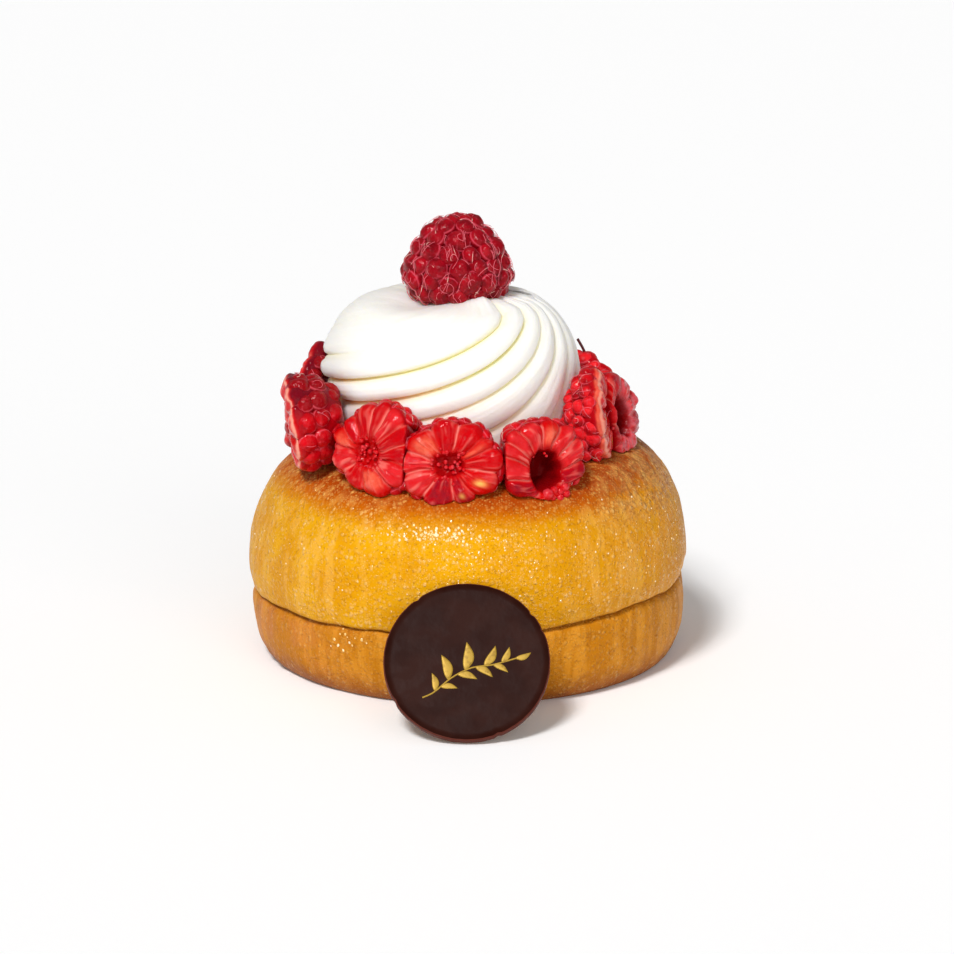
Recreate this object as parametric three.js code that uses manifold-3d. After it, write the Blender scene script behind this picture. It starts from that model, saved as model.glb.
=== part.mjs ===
// A single-portion savarin: a syrup-soaked ring cake with a moulded foot and a domed
// top, a piped rosette of whipped cream, a whole raspberry on it, a ring of cut
// raspberries round it and a thin chocolate disc that leans on the front.
// Millimetres, +Z up, the front towards -Y, origin at the middle of the cake's foot.
import * as THREE from "three";
import { mergeVertices } from "three/addons/utils/BufferGeometryUtils.js";
import Module from "manifold-3d";

const wasm = await Module();
wasm.setup();

const degrees = THREE.MathUtils.degToRad;
const FULL_TURN = 2 * Math.PI;
const GAP = 0.3; // left between pieces that touch

// ---- Cake ----
const FOOT_RADIUS = 35.6; // flat circle that the cake rests on
const LOWER_RADIUS = 39.5; // widest part of the moulded foot
const LOWER_HEIGHT = 9; // height where the moulded foot is widest
const FOOT_ROUNDNESS = 1.8; // exponent of the superellipse at the foot's edge
const CREASE_RADIUS = 38.5;
const CREASE_HEIGHT = 13;
const DOME_RADIUS = 40.1;
const DOME_TOP = 38.6;
const CAKE_TILT = 1.0; // the dome stands this much higher at +X than on the axis
const TILT_START = 5; // below this height the cake isn't tilted
const LUMPS = { broad: 0.005, fine: 0.004 }; // shares of the radius
const CREASE_WAVE = 0.35; // the crease runs up and down by this
const CAKE_SIDES = 60;
const FOOT_STEPS = 5;
const DOME_STEPS = 11;

// ---- Whipped cream ----
const CREAM_X = -3.5; // the rosette sits left of the cake's axis
const CREAM_BASE = 33; // starts inside the cake and is cut by its surface
const CREAM_TOP = 66.6;
const FRONT_RIDGES = 12; // to a full turn, at the spacing of the front
const BACK_RIDGES = 2; // further ones, crowded in behind
const BACK_FROM = 1.92; // radians, positive to the right of the front
const BACK_WIDTH = 3.05;
const RIDGES = FRONT_RIDGES + BACK_RIDGES;
const RIDGE_DEPTH = 2.2;
const RIDGE_SHARPNESS = 0.5; // below 1 the valleys are narrow and the ridges broad
const RIDGE_LEAN = 1.2; // above 1 the crest lies nearer the ridge's lower edge
const STEPS_PER_RIDGE = 6;
const CREAM_ROWS = 24;
// The ridges fan out from a pole near the top and wind down to the left. The twist is
// in radians, and heights are lengths along the outline in units of 10 mm.
const POLE_X = 5.5;
const POLE_Y = 0.7;
const POLE_SHARE = 0.6; // the pole stays inside the rings near the top
const TWIST_UNIT = 10;
const TWIST_ORIGIN = 21.6; // mm up the outline
const TWIST = [0.861, -0.088, -0.094]; // for the height, its square and its cube
const TWIST_RANGE = [-1.2, 1.25]; // past these heights it goes on straight
const CROWDING = { amount: 0.38, angle: 1.11 }; // ridges stand closer on one side
const UNEVEN = { amount: 0.31, angle: -1.437 }; // the twist differs round the rosette
const CURLING = { amount: 0.25, angle: 0.967 };
const UNEVEN_RANGE = [-1, 1.2];
const RIDGE_PHASE = 1.323;

// ---- Raspberry on top ----
const BERRY_X = -2.1;
const BERRY_SEAT = 65; // height of its lower rim, pressed into the cream
const BERRY_HEIGHT = 16.1;
const BERRY_RADIUS = 10.2;
const BERRY_COLUMNS = 48;
const WIDEST = 0.36; // share of the height
const BERRY_VALLEY = 1.7; // depth of the grooves between drupelets
// Rows of drupelets: share of the height, how many, share of a drupelet turned.
const BERRY_ROWS = [
  { share: 0.09, count: 12, turn: 0 },
  { share: 0.28, count: 12, turn: 0.5 },
  { share: 0.46, count: 12, turn: 0 },
  { share: 0.63, count: 12, turn: 0.5 },
  { share: 0.79, count: 8, turn: 0 },
  { share: 0.92, count: 4, turn: 0.3 },
];

// ---- Ring of cut raspberries ----
const SLICE_RADIUS = 8.7;
const SLICE_DEPTH = 9.2;
const SLICE_COLUMNS = 27;
const SLICE_VALLEY = 1.7;
const SLICE_LOBES = 9;
const SLICE_MIDDLE = 3.5; // from the cut face to the middle of the slice
const FACE_RADIUS = 31.6; // from the axis to the middle of a cut face
const FACE_HEIGHT = 43;
const HOLLOW = { wide: 3.1, deep: 5, tall: 3.3 };
// Angle round the cake from the front, positive to the right, shift out and up, and for
// the cut face its turn and lean in degrees, its width and height as shares.
const SLICES = [
  { at: -5.5, out: 0.1, up: -0.4, turn: 0, lean: 12, wide: 0.98, tall: 0.88, hollow: false },
  { at: 24, out: 0, up: -0.6, turn: 3, lean: 12, wide: 1.01, tall: 0.86, hollow: true },
  { at: 65, out: -4.9, up: 3.4, turn: 20, lean: 7, wide: 0.98, tall: 1.02, hollow: false },
  { at: 79, out: -3.6, up: 2.2, turn: -13, lean: 12, wide: 1, tall: 0.93, hollow: true },
  { at: 122, out: -3.6, up: 1.4, turn: 0, lean: 12, wide: 1, tall: 0.95, hollow: false },
  { at: 155, out: -1, up: 0.2, turn: 4, lean: 13, wide: 1, tall: 0.96, hollow: true },
  { at: -173, out: 0.3, up: 0, turn: 0, lean: 12, wide: 1.02, tall: 0.9, hollow: false },
  { at: -138, out: 0, up: 0.4, turn: -4, lean: 13, wide: 0.97, tall: 0.98, hollow: false },
  { at: -99, out: -1.1, up: 3.6, turn: -6, lean: 15, wide: 1, tall: 1.2, hollow: true },
  { at: -66.5, out: 2.7, up: 2.2, turn: -17, lean: -8, wide: 0.95, tall: 1.05, hollow: false },
  { at: -30, out: -0.3, up: 0.7, turn: -3, lean: 13, wide: 0.95, tall: 0.98, hollow: false },
];

// ---- Chocolate disc ----
const DISC_RADIUS = 14.4;
const DISC_THICKNESS = 1.5;
const DISC_EDGE = 0.25;
const DISC_LEAN = 37.5; // degrees back from upright
const DISC_FOOT_Y = -57.4; // lowest point, on the edge of its back
const DISC_CLEARANCE = 0.06; // above the surface that the cake stands on
const DISC_X = -0.3;
const DISC_SIDES = 40;

const colours = {
  cake: 0xdc9a2e,
  cream: 0xf8f3e6,
  berry: 0xa81230,
  cut: 0xcf1420,
  chocolate: 0x3c211e,
};

// A repeatable draw of numbers from 0 to 1.
function draws(seed) {
  let state = seed;
  return () => {
    state = (state * 1664525 + 1013904223) % 4294967296;
    return state / 4294967296;
  };
}

function finish(color, roughness) {
  return new THREE.MeshStandardMaterial({ color, roughness, metalness: 0 });
}

// A closed geometry as a solid that can be joined and cut.
function solidOf(geometry) {
  const bare = new THREE.BufferGeometry();
  bare.setAttribute("position", geometry.getAttribute("position").clone());
  if (geometry.index) bare.setIndex(geometry.index.clone());
  const merged = mergeVertices(bare, 1e-3);
  return new wasm.Manifold(
    new wasm.Mesh({
      numProp: 3,
      vertProperties: new Float32Array(merged.attributes.position.array),
      triVerts: new Uint32Array(merged.index.array),
    }),
  );
}

function geometryOf(solid) {
  const mesh = solid.getMesh();
  const geometry = new THREE.BufferGeometry();
  geometry.setAttribute(
    "position",
    new THREE.BufferAttribute(mesh.vertProperties, mesh.numProp),
  );
  geometry.setIndex(new THREE.BufferAttribute(mesh.triVerts, 1));
  geometry.computeVertexNormals();
  return geometry;
}

// The largest piece of a solid, without the scraps that a cut leaves.
function largest(solid) {
  const pieces = solid.decompose();
  return pieces.reduce((a, b) => (b.volume() > a.volume() ? b : a));
}

// A grid of rings, each a closed list of points, closed at both ends by a middle
// point. The rings run upwards, anticlockwise seen from above.
function ringSolid(rings, bottom, top) {
  const sides = rings[0].length;
  const points = [bottom, ...rings.flat(), top];
  const last = points.length - 1;
  const at = (ring, side) => 1 + ring * sides + (side % sides);
  const faces = [];
  for (let side = 0; side < sides; side++) {
    faces.push(0, at(0, side + 1), at(0, side));
    for (let ring = 0; ring + 1 < rings.length; ring++) {
      const [a, b] = [at(ring, side), at(ring, side + 1)];
      const [c, d] = [at(ring + 1, side + 1), at(ring + 1, side)];
      const first = points[a].distanceTo(points[c]);
      const second = points[b].distanceTo(points[d]);
      if (first < second) faces.push(a, b, c, a, c, d);
      else faces.push(a, b, d, b, c, d);
    }
    faces.push(at(rings.length - 1, side), at(rings.length - 1, side + 1), last);
  }
  const geometry = new THREE.BufferGeometry().setFromPoints(points);
  geometry.setIndex(faces);
  return geometry;
}

// The cake's outline from the foot's middle to the top's middle, as radius and height.
function cakeOutline() {
  const outline = [new THREE.Vector2(0, 0)];
  for (let i = 0; i <= FOOT_STEPS; i++) {
    const angle = ((i / FOOT_STEPS) * Math.PI) / 2;
    const out = Math.sin(angle) ** (2 / FOOT_ROUNDNESS);
    const up = 1 - Math.cos(angle) ** (2 / FOOT_ROUNDNESS);
    const radius = FOOT_RADIUS + (LOWER_RADIUS - FOOT_RADIUS) * out;
    outline.push(new THREE.Vector2(radius, LOWER_HEIGHT * up));
  }
  outline.push(new THREE.Vector2(LOWER_RADIUS - 0.3, CREASE_HEIGHT - 1.3));
  outline.push(new THREE.Vector2(CREASE_RADIUS, CREASE_HEIGHT));
  const dome = new THREE.SplineCurve([
    new THREE.Vector2(DOME_RADIUS - 0.6, CREASE_HEIGHT + 1.2),
    new THREE.Vector2(DOME_RADIUS, 18),
    new THREE.Vector2(DOME_RADIUS - 0.6, 24),
    new THREE.Vector2(DOME_RADIUS - 2.6, 29.5),
    new THREE.Vector2(DOME_RADIUS - 5.5, 34),
    new THREE.Vector2(DOME_RADIUS - 9.5, 37.2),
    new THREE.Vector2(DOME_RADIUS - 15, DOME_TOP),
    new THREE.Vector2(DOME_RADIUS - 26, DOME_TOP - 0.3),
  ]);
  outline.push(...dome.getSpacedPoints(DOME_STEPS));
  outline.push(new THREE.Vector2(0, DOME_TOP - 0.5));
  return outline;
}

// The cake, grown by a clearance on every side when it serves as a cutter.
function cakeGeometry(grow) {
  const outline = cakeOutline().map(
    (p) => new THREE.Vector2(p.x > 0 ? p.x + grow : 0, p.y > 1 ? p.y + grow : p.y - grow),
  );
  const geometry = new THREE.LatheGeometry(outline, CAKE_SIDES);
  const position = geometry.getAttribute("position");
  for (let i = 0; i < position.count; i++) {
    const [x, y, z] = [position.getX(i), position.getZ(i), position.getY(i)];
    const round = Math.atan2(x, -y);
    const above = THREE.MathUtils.smoothstep(z, TILT_START, CREASE_HEIGHT);
    const lump = 1 + above * (LUMPS.broad * Math.sin(3 * round + 1) + LUMPS.fine * Math.sin(7 * round));
    const wave = above * CREASE_WAVE * Math.sin(5 * round + 0.6);
    const tilt = (above * CAKE_TILT * x) / DOME_RADIUS;
    // Lathes stand along Y: turned here so that they stand along Z.
    position.setXYZ(i, x * lump, -y * lump, z + wave + tilt);
  }
  geometry.deleteAttribute("uv");
  geometry.deleteAttribute("normal");
  return geometry;
}

// The rosette's outline over the ridge crests, as radius and height.
const creamOutline = new THREE.SplineCurve([
  new THREE.Vector2(20.5, CREAM_BASE),
  new THREE.Vector2(21.6, 38),
  new THREE.Vector2(23.4, 44),
  new THREE.Vector2(23.9, 50),
  new THREE.Vector2(22.9, 56),
  new THREE.Vector2(20.8, 60.5),
  new THREE.Vector2(18.2, 63.5),
  new THREE.Vector2(15, 65.3),
  new THREE.Vector2(10, 66.3),
  new THREE.Vector2(3, CREAM_TOP),
]);
// The turn of the ridges that is the same all round, at a height along the outline.
function twistAt(height) {
  const held = THREE.MathUtils.clamp(height, ...TWIST_RANGE);
  const [first, second, third] = TWIST;
  const slope = first + 2 * second * held + 3 * third * held ** 2;
  return first * held + second * held ** 2 + third * held ** 3 + slope * (height - held);
}

// Where a point on the rosette lies in the pattern of ridges: the number of the ridge,
// whole in the valleys. `along` is the length of outline below the point.
function ridgeNumber(angle, radius, along) {
  const reach = Math.min(1, (POLE_SHARE * radius) / (POLE_X - CREAM_X));
  const right = radius * Math.sin(angle) - (POLE_X - CREAM_X) * reach;
  const forward = radius * Math.cos(angle) + POLE_Y * reach;
  const lag = Math.atan2(right, forward) - angle;
  const fan = angle + Math.atan2(Math.sin(lag), Math.cos(lag));
  const height = (along - TWIST_ORIGIN) / TWIST_UNIT;
  const held = THREE.MathUtils.clamp(height, ...UNEVEN_RANGE);
  const turn =
    fan +
    CROWDING.amount * Math.sin(fan - CROWDING.angle) -
    twistAt(height) -
    UNEVEN.amount * held * Math.cos(fan - UNEVEN.angle) -
    CURLING.amount * held ** 2 * Math.cos(fan - CURLING.angle) +
    RIDGE_PHASE;
  const turnsBehind = Math.floor((fan - BACK_FROM) / FULL_TURN);
  const behind = fan - BACK_FROM - FULL_TURN * turnsBehind;
  const crowded = turnsBehind + THREE.MathUtils.smoothstep(behind, 0, BACK_WIDTH);
  return (FRONT_RIDGES * turn) / FULL_TURN + BACK_RIDGES * crowded;
}

// The angle round the rosette where the pattern reaches a number.
function angleAtRidge(number, radius, along) {
  const evenly = (FULL_TURN * number) / RIDGES;
  let [low, high] = [evenly - 8, evenly + 8];
  for (let i = 0; i < 40; i++) {
    const middle = (low + high) / 2;
    if (ridgeNumber(middle, radius, along) < number) low = middle;
    else high = middle;
  }
  return (low + high) / 2;
}

function creamGeometry(grow) {
  const columns = RIDGES * STEPS_PER_RIDGE;
  const length = creamOutline.getLength();
  const rings = [];
  for (let row = 0; row < CREAM_ROWS; row++) {
    const share = row / (CREAM_ROWS - 1);
    const point = creamOutline.getPointAt(share);
    const tangent = creamOutline.getTangentAt(share);
    const ring = [];
    for (let column = 0; column < columns; column++) {
      const step = column / STEPS_PER_RIDGE;
      const within = (step % 1) ** RIDGE_LEAN;
      const crest = Math.sin(Math.PI * within) ** RIDGE_SHARPNESS;
      const fade = 1 - THREE.MathUtils.smoothstep(share, 0.72, 0.98);
      const depth = RIDGE_DEPTH * (0.25 + 0.75 * fade) * (1 - crest) - grow;
      const radius = Math.max(point.x - depth * tangent.y, 0.5);
      const height = point.y + depth * tangent.x;
      const angle = angleAtRidge(step, point.x, share * length);
      ring.push(
        new THREE.Vector3(CREAM_X + radius * Math.sin(angle), -radius * Math.cos(angle), height),
      );
    }
    rings.push(ring);
  }
  const bottom = new THREE.Vector3(CREAM_X, 0, CREAM_BASE - grow);
  const top = new THREE.Vector3(CREAM_X, 0, CREAM_TOP + grow);
  return ringSolid(rings, bottom, top);
}

// One ring of a body that swells into drupelets. The ring lies across +Z at the given
// height; `swell` is the depth of the grooves, nought on a ring between two rows.
function lobedRing({ radius, height, columns, count, turn, swell, draw }) {
  const sizes = Array.from({ length: count }, () => 0.16 * (draw() - 0.5));
  return Array.from({ length: columns }, (_, column) => {
    const place = (column * count) / columns + 0.5;
    const lobe = Math.round(place) % count;
    const crest = Math.abs(Math.cos(Math.PI * place)) ** 0.7;
    const out = radius - swell * (1 - crest) + swell * sizes[lobe];
    const angle = (2 * Math.PI * (place + turn)) / count;
    return new THREE.Vector3(out * Math.sin(angle), -out * Math.cos(angle), height);
  });
}

// Half-width of the whole raspberry at a share of its height.
function berryWidth(share) {
  const low = 1 - 0.24 * Math.max(0, 1 - share / WIDEST) ** 2;
  const high = Math.max(0, (share - WIDEST) / (1.015 - WIDEST));
  return BERRY_RADIUS * low * Math.sqrt(Math.max(0, 1 - high ** 1.75));
}

function wholeBerry() {
  const draw = draws(7);
  const rings = [];
  const add = (share, row, swell, inward) =>
    rings.push(
      lobedRing({
        radius: berryWidth(share) - inward,
        height: BERRY_SEAT + share * BERRY_HEIGHT,
        columns: BERRY_COLUMNS,
        count: row.count,
        turn: row.turn,
        swell,
        draw,
      }),
    );
  add(0, BERRY_ROWS[0], 0, BERRY_VALLEY);
  BERRY_ROWS.forEach((row, index) => {
    add(row.share, row, BERRY_VALLEY, 0);
    const next = BERRY_ROWS[index + 1];
    if (next) add((row.share + next.share) / 2, next, 0.3, 0.5 * BERRY_VALLEY);
  });
  const bottom = new THREE.Vector3(0, 0, BERRY_SEAT);
  const top = new THREE.Vector3(0, 0, BERRY_SEAT + BERRY_HEIGHT);
  return ringSolid(rings, bottom, top).translate(BERRY_X, 0, 0);
}

// A smooth cup a little larger than the raspberry's lower half.
function berrySeat() {
  const steps = 6;
  const outline = [new THREE.Vector2(0, BERRY_SEAT - GAP)];
  for (let i = 0; i <= steps; i++) {
    const share = (0.5 * i) / steps;
    outline.push(
      new THREE.Vector2(berryWidth(share) + GAP + 0.2, BERRY_SEAT - GAP + share * BERRY_HEIGHT),
    );
  }
  outline.push(new THREE.Vector2(0, outline.at(-1).y));
  return solidOf(new THREE.LatheGeometry(outline, 20).rotateX(Math.PI / 2)).translate([
    BERRY_X,
    0,
    0,
  ]);
}

// A cut raspberry: the cut face in the plane y = 0 facing -Y, the rounded tip behind.
function cutBerry(slice, seed) {
  const draw = draws(seed);
  const rows = [
    { depth: 0, share: 0.97, count: SLICE_LOBES, turn: 0, swell: SLICE_VALLEY },
    { depth: 1.8, share: 1, count: SLICE_LOBES, turn: 0, swell: SLICE_VALLEY },
    { depth: 3.8, share: 0.86, count: SLICE_LOBES, turn: 0.25, swell: 0.3 },
    { depth: 5.6, share: 0.84, count: SLICE_LOBES, turn: 0.5, swell: SLICE_VALLEY },
    { depth: 7.6, share: 0.48, count: 3, turn: 0, swell: 0.8 },
  ];
  const rings = rows.map(({ depth, share, ...row }) => {
    const radius = SLICE_RADIUS * share;
    return lobedRing({ ...row, radius, height: depth, columns: SLICE_COLUMNS, draw });
  });
  const face = new THREE.Vector3(0, 0, 0);
  const tip = new THREE.Vector3(0, 0, SLICE_DEPTH);
  // Turned so that the cut face, made facing down, faces the front.
  const body = ringSolid(rings, face, tip).rotateX(-Math.PI / 2);
  const berry = solidOf(body.scale(slice.wide, 1, slice.tall));
  if (!slice.hollow) return berry;
  const hollow = new THREE.SphereGeometry(1, 8, 5);
  return berry.subtract(solidOf(hollow.scale(HOLLOW.wide, HOLLOW.deep, HOLLOW.tall)));
}

// The frame of a slice: its origin in the middle of the cut face, which faces -Y.
function sliceFrame(slice) {
  const out = new THREE.Matrix4().makeTranslation(
    0,
    -(FACE_RADIUS + slice.out),
    FACE_HEIGHT + slice.up,
  );
  return new THREE.Matrix4()
    .makeRotationZ(degrees(slice.at))
    .multiply(out)
    .multiply(new THREE.Matrix4().makeRotationZ(degrees(slice.turn)))
    .multiply(new THREE.Matrix4().makeRotationX(degrees(-slice.lean)));
}

// All that lies nearer to a neighbour than to the slice, and half a gap more.
function neighbourSide(slice, neighbour) {
  const middle = new THREE.Vector3(0, SLICE_MIDDLE, 0);
  const here = middle.clone().applyMatrix4(sliceFrame(slice));
  const there = middle.clone().applyMatrix4(sliceFrame(neighbour));
  const across = Math.atan2(there.x - here.x, here.y - there.y);
  const reach = 60;
  const side = new THREE.BoxGeometry(reach, reach, reach);
  side.translate(0, -reach / 2 + GAP / 2, 0).rotateZ(across);
  const halfway = here.add(there).multiplyScalar(0.5);
  return solidOf(side.translate(halfway.x, halfway.y, halfway.z));
}

function placedSlice(index, cutters) {
  const slice = SLICES[index];
  const berry = geometryOf(cutBerry(slice, 20 + index)).applyMatrix4(sliceFrame(slice));
  const count = SLICES.length;
  const sides = [1, count - 1].map((step) => neighbourSide(slice, SLICES[(index + step) % count]));
  return largest([...sides, ...cutters].reduce((rest, cutter) => rest.subtract(cutter), solidOf(berry)));
}

function chocolateDisc() {
  const outline = [
    new THREE.Vector2(0, 0),
    new THREE.Vector2(DISC_RADIUS - DISC_EDGE, 0),
    new THREE.Vector2(DISC_RADIUS, DISC_EDGE),
    new THREE.Vector2(DISC_RADIUS, DISC_THICKNESS - DISC_EDGE),
    new THREE.Vector2(DISC_RADIUS - DISC_EDGE, DISC_THICKNESS),
    new THREE.Vector2(0, DISC_THICKNESS),
  ];
  return new THREE.LatheGeometry(outline, DISC_SIDES);
}

const savarin = new THREE.Group();

function addPiece(name, geometry, material) {
  const mesh = new THREE.Mesh(geometry, material);
  mesh.name = name;
  savarin.add(mesh);
  return mesh;
}

const cakeClear = solidOf(cakeGeometry(GAP));
const creamClear = solidOf(creamGeometry(GAP));

addPiece("cake", cakeGeometry(0), finish(colours.cake, 0.35));

const cream = solidOf(creamGeometry(0)).subtract(cakeClear).subtract(berrySeat());
addPiece("whipped_cream", geometryOf(largest(cream)), finish(colours.cream, 0.5));

addPiece("raspberry_top", wholeBerry(), finish(colours.berry, 0.45));

SLICES.forEach((slice, index) => {
  const solid = placedSlice(index, [cakeClear, creamClear]);
  const name = "raspberry_cut_" + String(index + 1).padStart(2, "0");
  addPiece(name, geometryOf(solid), finish(colours.cut, 0.3));
});

// Laid with its back down, then tipped up so that it leans on the cake.
const disc = addPiece("chocolate_disc", chocolateDisc(), finish(colours.chocolate, 0.4));
const lean = degrees(DISC_LEAN);
disc.rotation.x = Math.PI - lean;
disc.position.set(
  DISC_X,
  DISC_FOOT_Y + DISC_RADIUS * Math.sin(lean),
  DISC_CLEARANCE + DISC_RADIUS * Math.cos(lean),
);

export default savarin;
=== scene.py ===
"""The looks of a single-portion savarin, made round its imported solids.

A syrup-soaked ring cake carries a piped rosette of whipped cream, a whole raspberry, a ring
of cut raspberries and a leaning chocolate disc. Lengths here are millimetres and become
metres where a mesh is made. +Z is up and the front faces -Y. An angle round the cake is
nought at the front and positive to the right.
"""

from __future__ import annotations

import logging
import math
from collections.abc import Callable, Sequence
from dataclasses import dataclass, fields
from enum import Enum

import bmesh
import bpy
import numpy as np
from bpy.types import ID, Material, Mesh, Node, NodeSocket, NodeTree, Object
from mathutils import Matrix, Vector, noise

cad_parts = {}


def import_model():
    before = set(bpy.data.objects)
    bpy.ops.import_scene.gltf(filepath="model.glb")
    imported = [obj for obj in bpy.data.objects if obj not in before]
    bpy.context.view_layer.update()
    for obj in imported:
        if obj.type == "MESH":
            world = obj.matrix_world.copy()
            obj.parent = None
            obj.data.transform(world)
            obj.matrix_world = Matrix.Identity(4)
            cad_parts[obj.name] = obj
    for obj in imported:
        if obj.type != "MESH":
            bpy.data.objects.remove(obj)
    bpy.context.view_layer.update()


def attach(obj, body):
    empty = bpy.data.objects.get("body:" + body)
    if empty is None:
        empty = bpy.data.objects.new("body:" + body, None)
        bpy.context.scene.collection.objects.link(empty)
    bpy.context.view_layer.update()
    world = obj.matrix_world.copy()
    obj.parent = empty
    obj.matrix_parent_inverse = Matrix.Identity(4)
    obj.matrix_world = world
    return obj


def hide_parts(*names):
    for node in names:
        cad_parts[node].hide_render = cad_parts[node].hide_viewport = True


LOG = logging.getLogger("savarin")
MM = 0.001
FULL_TURN = math.tau
GOLDEN_ANGLE = math.pi * (3 - math.sqrt(5))
BODY = "root"
# Base of the bell curves that press the cream in or draw it out.
BELL_BASE = 2.718
# Place, way out and radius of each ball, in millimetres.
Spots = list[tuple[np.ndarray, np.ndarray, float]]


# ---- Node trees ----


def linear(colour: str) -> tuple[float, float, float, float]:
    """Turns an sRGB colour such as "F4AE22" into linear red, green, blue and alpha."""
    shares = [int(colour[i : i + 2], 16) / 255 for i in (0, 2, 4)]
    low = [share / 12.92 for share in shares]
    high = [((share + 0.055) / 1.055) ** 2.4 for share in shares]
    red, green, blue = (l if s <= 0.04045 else h for s, l, h in zip(shares, low, high))
    return red, green, blue, 1.0


def add(tree: NodeTree, kind: str, links: dict | None = None, **settings) -> Node:
    """Adds a node with its settings and its links.

    Args:
        tree: The node tree that it joins.
        kind: The node's type.
        links: For an input's name or number, a socket or Field to link, or a value to set.
        settings: Properties of the node itself.

    Returns:
        The node.
    """
    node = tree.nodes.new(kind)
    for name, value in settings.items():
        setattr(node, name, value)
    for key, value in (links or {}).items():
        if isinstance(value, Field):
            value = value.socket
        if isinstance(value, NodeSocket):
            tree.links.new(value, node.inputs[key])
        else:
            node.inputs[key].default_value = value
    return node


def maths(operation: str, flipped: bool = False) -> Callable[..., Field]:
    """Gives a Field method that adds a Math node.

    Args:
        operation: What the node does.
        flipped: Whether the other value comes before the Field's own.

    Returns:
        The method.
    """

    def method(own: Field, *others: Field | float) -> Field:
        """Runs the node on the Field and the others."""
        values = (*others, own) if flipped else (own, *others)
        return output(own.socket.id_data, "ShaderNodeMath", dict(enumerate(values)), operation=operation)

    return method


class Field:
    """An output in a node tree; where it is a number, arithmetic adds Math nodes."""

    def __init__(self, socket: NodeSocket) -> None:
        """Holds the socket that gives it."""
        self.socket = socket

    __add__ = __radd__ = maths("ADD")
    __mul__ = __rmul__ = maths("MULTIPLY")
    __sub__, __rsub__ = maths("SUBTRACT"), maths("SUBTRACT", flipped=True)
    __truediv__, __rtruediv__ = maths("DIVIDE"), maths("DIVIDE", flipped=True)
    __pow__, __rpow__ = maths("POWER"), maths("POWER", flipped=True)
    sin, cos, atan2 = maths("SINE"), maths("COSINE"), maths("ARCTAN2")
    floor, fract = maths("FLOOR"), maths("FRACT")
    least, most = maths("MINIMUM"), maths("MAXIMUM")

    def clip(self, low: Field | float, high: Field | float) -> Field:
        """Holds this between two limits."""
        return self.most(low).least(high)

    def rise(self, start: Field | float, end: Field | float) -> Field:
        """Nought at start and one at end, with a smooth rise between."""
        links = {"Value": self, "From Min": start, "From Max": end}
        return output(self.socket.id_data, "ShaderNodeMapRange", links, interpolation_type="SMOOTHSTEP")


def output(tree: NodeTree, kind: str, links: dict | None = None, **settings) -> Field:
    """Adds a node, as `add` does, and gives its first output."""
    return Field(add(tree, kind, links, **settings).outputs[0])


def split(tree: NodeTree, vector: Field | NodeSocket) -> list[Field]:
    """Gives the three parts of a vector."""
    return [Field(out) for out in add(tree, "ShaderNodeSeparateXYZ", {0: vector}).outputs]


def joined(tree: NodeTree, *parts: Field | float) -> Field:
    """Gives a vector made of three numbers."""
    return output(tree, "ShaderNodeCombineXYZ", dict(enumerate(parts)))


def linked(name: str, data: ID) -> Object:
    """Makes an object of the data and links it to the scene."""
    piece = bpy.data.objects.new(name, data)
    bpy.context.scene.collection.objects.link(piece)
    return piece


class Shape:
    """A geometry node tree with named inputs that turns a start mesh into a piece."""

    def __init__(self, name: str) -> None:
        """Starts a tree that takes and gives a geometry."""
        self.tree = bpy.data.node_groups.new(name, "GeometryNodeTree")
        for way in ("INPUT", "OUTPUT"):
            self.tree.interface.new_socket("Geometry", in_out=way, socket_type="NodeSocketGeometry")
        self.start = add(self.tree, "NodeGroupInput")
        self.values: dict[str, float | int] = {}

    def number(self, name: str, value: float | int) -> Field:
        """Adds a named input.

        Args:
            name: What the modifier shows.
            value: Its value for this piece; an int makes a whole-number input.

        Returns:
            The input as a number in the tree.
        """
        kind = "NodeSocketInt" if isinstance(value, int) else "NodeSocketFloat"
        socket = self.tree.interface.new_socket(name, in_out="INPUT", socket_type=kind)
        self.values[socket.identifier] = value
        return Field(self.start.outputs[name])

    def numbers(self, sizes: object) -> dict[str, Field]:
        """Adds a named input for each numeric field of a dataclass."""
        found = {f.name: getattr(sizes, f.name) for f in fields(sizes)}
        return {
            name: self.number(name.replace("_", " ").capitalize(), value)
            for name, value in found.items()
            if isinstance(value, (int, float))
        }

    def finish(self, geometry: Field, material: Material) -> None:
        """Ends the tree: what is instanced becomes mesh and takes the material."""
        real = output(self.tree, "GeometryNodeRealizeInstances", {0: geometry})
        dressed = output(self.tree, "GeometryNodeSetMaterial", {"Geometry": real, "Material": material})
        add(self.tree, "NodeGroupOutput", {0: dressed})

    def run(self, name: str, start: Mesh) -> Object:
        """Runs the tree and keeps what it makes as a plain mesh.

        Args:
            name: The new piece's name.
            start: The mesh that the tree starts from.

        Returns:
            The piece, without a modifier.
        """
        piece = linked(name, start)
        modifier = piece.modifiers.new("shape", "NODES")
        modifier.node_group = self.tree
        for identifier, value in self.values.items():
            modifier[identifier] = value
        piece.update_tag()
        depsgraph = bpy.context.evaluated_depsgraph_get()
        made = bpy.data.meshes.new_from_object(piece.evaluated_get(depsgraph))
        made.name = name
        piece.modifiers.clear()
        piece.data = made
        made.shade_smooth()
        return piece


# ---- Meshes ----


def mesh_of(name: str, points: np.ndarray, edges: Sequence = (), faces: Sequence = ()) -> Mesh:
    """Makes a mesh of points in metres."""
    mesh = bpy.data.meshes.new(name)
    mesh.from_pydata(points.tolist(), edges, faces)
    return mesh


def store(mesh: Mesh, name: str, values: np.ndarray) -> None:
    """Stores a number or a vector at each point of a mesh."""
    kind, key = ("FLOAT_VECTOR", "vector") if values.ndim > 1 else ("FLOAT", "value")
    data = mesh.attributes.new(name, kind, "POINT").data
    data.foreach_set(key, values.reshape(-1).astype(np.float32))


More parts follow.
